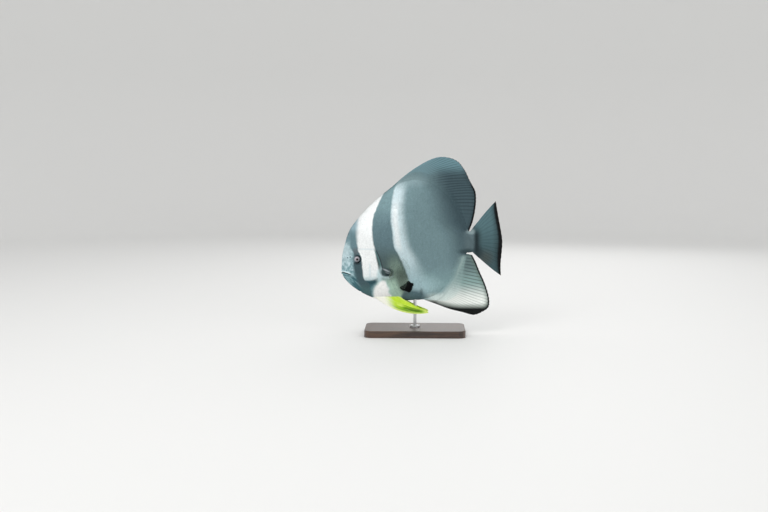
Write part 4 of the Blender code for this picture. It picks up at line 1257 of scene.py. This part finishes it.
def lattice(pitch, rowPitch):
    # staggered rows over the flattened flank, closer together where the fish narrows
    spots, sizes = np.array(scales["shrink"], float).T
    steps = [0.0]
    while steps[-1] < scales["ends"][1]:
        steps.append(steps[-1] + pitch * np.interp(steps[-1], spots, sizes))
    while steps[0] > scales["ends"][0]:
        steps.insert(0, steps[0] - pitch * np.interp(steps[0], spots, sizes))
    flat, size = [], []
    for row in range(-scales["rows"], scales["rows"]):
        along = np.interp(np.arange(len(steps) - 1) + (row % 2) / 2, np.arange(len(steps)), steps)
        share = np.interp(along, spots, sizes)
        flat.append(np.stack([along, row * rowPitch / 2 * share], 1))
        size.append(share)
    flat, size = np.vstack(flat), np.concatenate(size)
    near = np.hypot(*flat.T) < scales["reach"]
    return flat[near], size[near]


class SkinSurface:
    # the nearest place of the finished skin, with its smooth normal
    def __init__(self, mesh):
        self.normals = np.array([n.vector for n in mesh.vertex_normals])
        self.polygons = [tuple(p.vertices) for p in mesh.polygons]
        self.tree = BVHTree.FromPolygons([v.co for v in mesh.vertices], self.polygons)

    def under(self, points):
        places, normals = np.empty((len(points), 3)), np.empty((len(points), 3))
        for k, point in enumerate(points * mm):
            spot, _, index, _ = self.tree.find_nearest(Vector(point))
            places[k] = spot
            normals[k] = self.normals[list(self.polygons[index])].mean(0)
        return places / mm, unitRows(normals)


def bareDistance(points):
    # how far a place is from the bare snout, eye and lips, below 0 on them
    x, z = points[:, 0], points[:, 2]
    ahead, above = mouthAxes(x, z)
    snoutX, snoutZ = np.array(scales["nakedSnout"]).T
    left = x - np.interp(z, snoutZ, snoutX)
    left = np.minimum(left, np.hypot(x - face["eye"][0], z - face["eye"][1]) - scales["nakedEye"])
    for nx, nz, radius in face["nostrils"]:
        left = np.minimum(left, np.hypot(x - nx, z - nz) - radius - scales["nakedNostril"])
    beside, behind = scales["nakedMouth"]
    return np.minimum(left, np.maximum(np.abs(above) - beside, behind - ahead))


def isNaked(points):
    x, z = points[:, 0], points[:, 2]
    near = lineDistance(x, z, coverLoop)[0] < membraneWidth(z) + scales["nakedGill"]
    naked = (x > scales["nakedGillFrom"]) & ~insideLoop(x, z, coverLoop[:-1]) & near
    bx, bz, length, height, _ = gills["pectoralBase"]
    naked |= np.hypot((x - bx) / length, (z - bz) / height) < scales["nakedBase"]
    naked |= lineDistance(x, z, throatLine)[0] < scales["nakedThroat"]
    return naked | (bareDistance(points) < 0)


def coatPoints(places, upward, lie, size, flat, shade, centre):
    # what the node tree needs to know at each scale's root
    draw = np.random.default_rng(scales["seed"] + len(places))
    count = len(places)
    lie = lie + np.cross(upward, lie) * draw.normal(0, scales["turn"], count)[:, None]
    size = size * (1 + draw.normal(0, scales["jitter"], (count, 1)))
    pored = hump(lineDistance(places[:, 0], places[:, 2], lateralLine)[0], scales["poredWidth"])
    height = np.clip(size[:, 0] / scales["pitch"], scales["least"], 1) * (1 + scales["poredLift"] * pored)
    scale = np.stack([size[:, 0] * scales["length"] * mm, size[:, 1] * scales["width"] * mm, height], 1)
    root = np.column_stack([0.5 + (flat - centre) * scales["unwrap"], np.zeros(count)])
    shade = shade * (1 + draw.normal(0, scales["toneSpread"] / 2, count)) * (1 - scales["poredDark"] * pored)
    return newMesh("roots", places, [], {
        "upward": upward, "lie": lie, "size": scale, "root": root, "tone": shade})


def grown(distance, least, over):
    return np.clip(least + distance / over, least, 1)


def flankCoat(surface, side, part):
    # every scale of one side of the trunk, or the head's smaller ones
    pitch, rowPitch = scales["pitch"], scales["rowPitch"]
    if part == "Head":
        pitch, rowPitch = [scales[key] / scales["headShrink"] for key in ("headPitch", "headRowPitch")]
    flat, share = lattice(pitch, rowPitch)
    places, left = onFlank(flat, side)
    ahead, _ = onFlank(flat + (scales["probe"], 0), side)
    endX, endZ = np.array(scales["headEnd"])[::-1].T
    inHead = places[:, 0] < np.interp(places[:, 2], endZ, endX)
    keep = (left > scales["rimLeft"]) & (inHead == (part == "Head")) & ~isNaked(places)
    flat, share, places, ahead, left = [a[keep] for a in (flat, share, places, ahead, left)]
    share = share * grown(bareDistance(places), *scales["nearBare"])
    size = np.stack([share * pitch, share * rowPitch * grown(left, *scales["nearRim"])], 1)
    return *surface.under(places), unitRows(ahead - places), size, flat, np.ones(len(places))


def within(x, spans):
    return np.any([(x > low) & (x < high) for low, high in spans], 0)


def ridgeCoat(surface):
    # a row along the edge of the back, the belly and the tail stem, where no fin stands
    loop = np.vstack([outline, outline[:1]])
    lengths = runAlong(loop)
    at = np.arange(0, lengths[-1], scales["ridgePitch"])
    ahead = at + scales["ridgeProbe"]
    (x, z), (nx, nz) = [[np.interp(spots, lengths, column) for column in loop.T] for spots in (at, ahead)]
    run = unitRows(np.stack([nx - x, 0 * x, nz - z], 1))
    below = z < middle[1]
    run[below] *= -1
    keep = (z > middle[1]) & within(x, scales["ridgeBack"]) | below & within(x, scales["ridgeBelly"])
    keep &= ~isNaked(np.stack([x, x * 0, z], 1))
    places, upward = surface.under(np.stack([x, sway(x), z], 1)[keep])
    size = np.full((len(places), 2), scales["ridgePitch"])
    return places, upward, run[keep], size, (np.stack([x, z], 1) - middle)[keep], np.ones(len(places))


def finCoat(fin, reach):
    # small scales on both sides of a fin's fleshy root, in rows along its rays
    shares, last, pitch = np.linspace(0, 1, scales["finSamples"]), fin["count"] - 1, scales["finPitch"]
    base, tip = [finPlace(fin, shares * last, 0 * shares + along) for along in (0, 1)]
    run = runAlong(base * (1 - scales["finLevel"]) + tip * scales["finLevel"])
    tall = np.linalg.norm(tip - base, axis=1)
    at, along, sizes, flat = [], [], [], []
    for row in range(int(run[-1] / pitch * 2) + 1):
        share = np.interp(row * pitch / 2, run, shares)
        height = np.interp(share, shares, tall)
        top = reach(share) * height
        columns = np.arange(scales["finStart"] + (row % 2) / 2, top / pitch) * pitch
        at += [share] * len(columns)
        along += np.where(columns < 0, columns / fin["embed"], columns / height).tolist()
        fade = 1 - scales["finFade"] * np.clip(columns / max(top, 1), 0, 1) ** 2
        sizes += [[size, size] for size in pitch * fade]
        flat += [(row * pitch / 2 - run[-1] / 2, c) for c in columns]
    phase, along, sizes, flat = np.array(at) * last, np.array(along), np.array(sizes), np.array(flat)
    place, (across, out) = finPlace(fin, phase, along), scales["finNudge"]
    beside = finPlace(fin, np.clip(phase + across, 0, last), along) - place
    end = phase > last - 1.2 * across
    beside[end] = (place - finPlace(fin, phase - across, along))[end]
    lie = unitRows(finPlace(fin, phase, along + out) - place)
    upward = unitRows(np.cross(beside, lie))
    thick = finThickness(fin, along)[:, None] / 2 - scales["finSunk"]
    shade = 1 - scales["finLines"] * step(2 * rayDistance(phase), 0.4, 0.9) * step(along, 0.02, 0.16)
    made = [(place + side * upward * thick, side * upward, lie, sizes, flat + (0, shift), shade)
            for side, shift in scales["finSides"]]
    return [np.concatenate(parts) for parts in zip(*made)]


def buildScales(skin):
    surface = SkinSurface(skin.data)
    form, material = scaleForm(), skinMaterial("scales", True)
    tree, names = buildScaleTree()

    def coat(name, parts, centre=scales["flankCentre"]):
        mesh = runTree(coatPoints(*parts, centre), tree, names, {"Scale": form, "Material": material})
        newPiece(name, mesh, material, sharp=scales["sharp"])
        print("scales", name, len(parts[0]), sum(len(p.vertices) - 2 for p in mesh.polygons))

    for name, side in (("Left", -1), ("Right", 1)):
        trunk = flankCoat(surface, side, "Trunk")
        front = trunk[0][:, 0] < scales["splitAt"]
        coat("scalesFront" + name, [a[front] for a in trunk])
        coat("scalesRear" + name, [a[~front] for a in trunk])
        coat("scalesHead" + name, flankCoat(surface, side, "Head"))
    coat("scalesRidge", ridgeCoat(surface))
    for kind, reach in (("dorsal", lambda share: 0.34 - 0.1 * share),
                        ("anal", lambda share: 0.3 - 0.06 * share),
                        ("caudal", lambda share: 0.16 + 0.1 * abs(2 * share - 1))):
        coat("scales" + kind.title(), finCoat(fins[kind], reach), scales["finCentre"])
    bpy.data.objects.remove(form)


print("shape ready")
skinPaint = skinMaterial("skin", False)
skin = newPiece("skin", skinMesh(), skinPaint,
                ["head", "trunk", "tail_stem", "gill_cover_left", "gill_cover_right"])
print("skin", len(skin.data.vertices), len(skin.data.polygons))
buildFins()
buildEyes()
buildScales(skin)


# stand

wood = {"dark": (46, 32, 25), "pale": (88, 62, 46)}
steel = (0.60, 0.61, 0.62, 1)


def woodMaterial():
    made, tree, place = newMaterial("wood")
    long = stretched(place, (1.2, 14, 14))
    grain, fine = noise(long, 9, 6, 0.6), noise(long, 60, 4, 0.6)
    colour = grain.rise(0.35, 0.68).pick(wood["dark"], wood["pale"]).scaled(fine * 0.5 + 0.75)
    finishMaterial(tree, {"Base Color": colour, "Roughness": grain * 0.15 + 0.32,
                          "Normal": bumped(fine, 0.0003, 0.2), "Coat Weight": 0.4, "Coat Roughness": 0.2})
    return made


def steelMaterial():
    made, tree, place = newMaterial("steel")
    brushed = noise(stretched(place, (40, 40, 900)), 3, 3)
    finishMaterial(tree, {"Base Color": steel, "Metallic": 1.0, "Roughness": brushed * 0.25 + 0.2})
    return made


for node, material in (("stand_base", woodMaterial()), ("stand_rod", steelMaterial())):
    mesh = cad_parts[node].data
    mesh.materials.clear()
    mesh.materials.append(material)
print("stand")


# room, light and camera

room = {"floorRadius": 3400, "sweep": 1000, "wall": 1900, "segments": 96, "colour": (0.78, 0.78, 0.77, 1)}
light = {
    "lamps": {"key": ((-1.1, -2.0, 1.9), 1.4, 19), "fill": ((1.8, -1.9, 1.0), 1.6, 7),
              "top": ((0.1, 0.2, 2.3), 1.8, 12), "back": ((0.6, 2.2, 1.4), 1.6, 9)},
    "aim": (0, 0, 0.25), "world": 0.78,
}
camera = {
    "lens": 50, "distance": 2.7615, "elevation": 4.5, "aim": (-0.0977, 0.0, 0.2036), "fish": (0, 0.0, 0.255),
}


def buildRoom():
    made, tree, place = newMaterial("floor")
    finishMaterial(tree, {"Base Color": room["colour"], "Roughness": noise(place, 30, 2) * 0.1 + 0.6})
    bend = np.linspace(0, math.pi / 2, 16)
    radius = room["floorRadius"] + room["sweep"] * np.append(np.sin(bend), 1)
    height = np.append(room["sweep"] * (1 - np.cos(bend)), room["wall"])
    spin = np.arange(room["segments"]) / room["segments"] * fullTurn
    rings = np.stack([np.outer(radius, np.cos(spin)), np.outer(radius, np.sin(spin)),
                      np.outer(height, np.ones(len(spin)))], -1)
    index = 1 + np.arange(radius.size * spin.size).reshape(radius.size, spin.size)
    index = np.hstack([index, index[:, :1]])
    middleFan = [(0, a, b) for a, b in zip(index[0], index[0, 1:])]
    points = np.vstack([np.zeros((1, 3)), rings.reshape(-1, 3)])
    mesh = newMesh("floor", points, middleFan + gridFaces(index).tolist())
    mesh.materials.append(made)
    mesh.shade_smooth()
    floor = newObject("floor", mesh)


def aim(made, place, target):
    made.location = place
    made.rotation_euler = (Vector(target) - Vector(place)).to_track_quat("-Z", "Y").to_euler()


def buildLights():
    for name, (place, size, power) in light["lamps"].items():
        lamp = bpy.data.lights.new(name, "AREA")
        lamp.shape = "SQUARE"
        lamp.size, lamp.energy = size, power
        made = newObject(name, lamp)
        aim(made, place, light["aim"])
        made.visible_camera = False
    world = bpy.data.worlds.new("studio")
    world.use_nodes = True
    sky = world.node_tree.nodes["Background"].inputs
    sky["Color"].default_value = (1, 1, 1, 1)
    sky["Strength"].default_value = light["world"]
    bpy.context.scene.world = world
    bpy.context.scene.view_settings.view_transform = "Standard"


def buildCamera():
    data = bpy.data.cameras.new("camera")
    data.lens = camera["lens"]
    made = newObject("camera", data)
    tilt = math.radians(camera["elevation"])
    away = Vector((0, -math.cos(tilt), math.sin(tilt))) * camera["distance"]
    aim(made, Vector(camera["fish"]) + away, camera["aim"])
    bpy.context.scene.camera = made


buildRoom()
buildLights()
buildCamera()
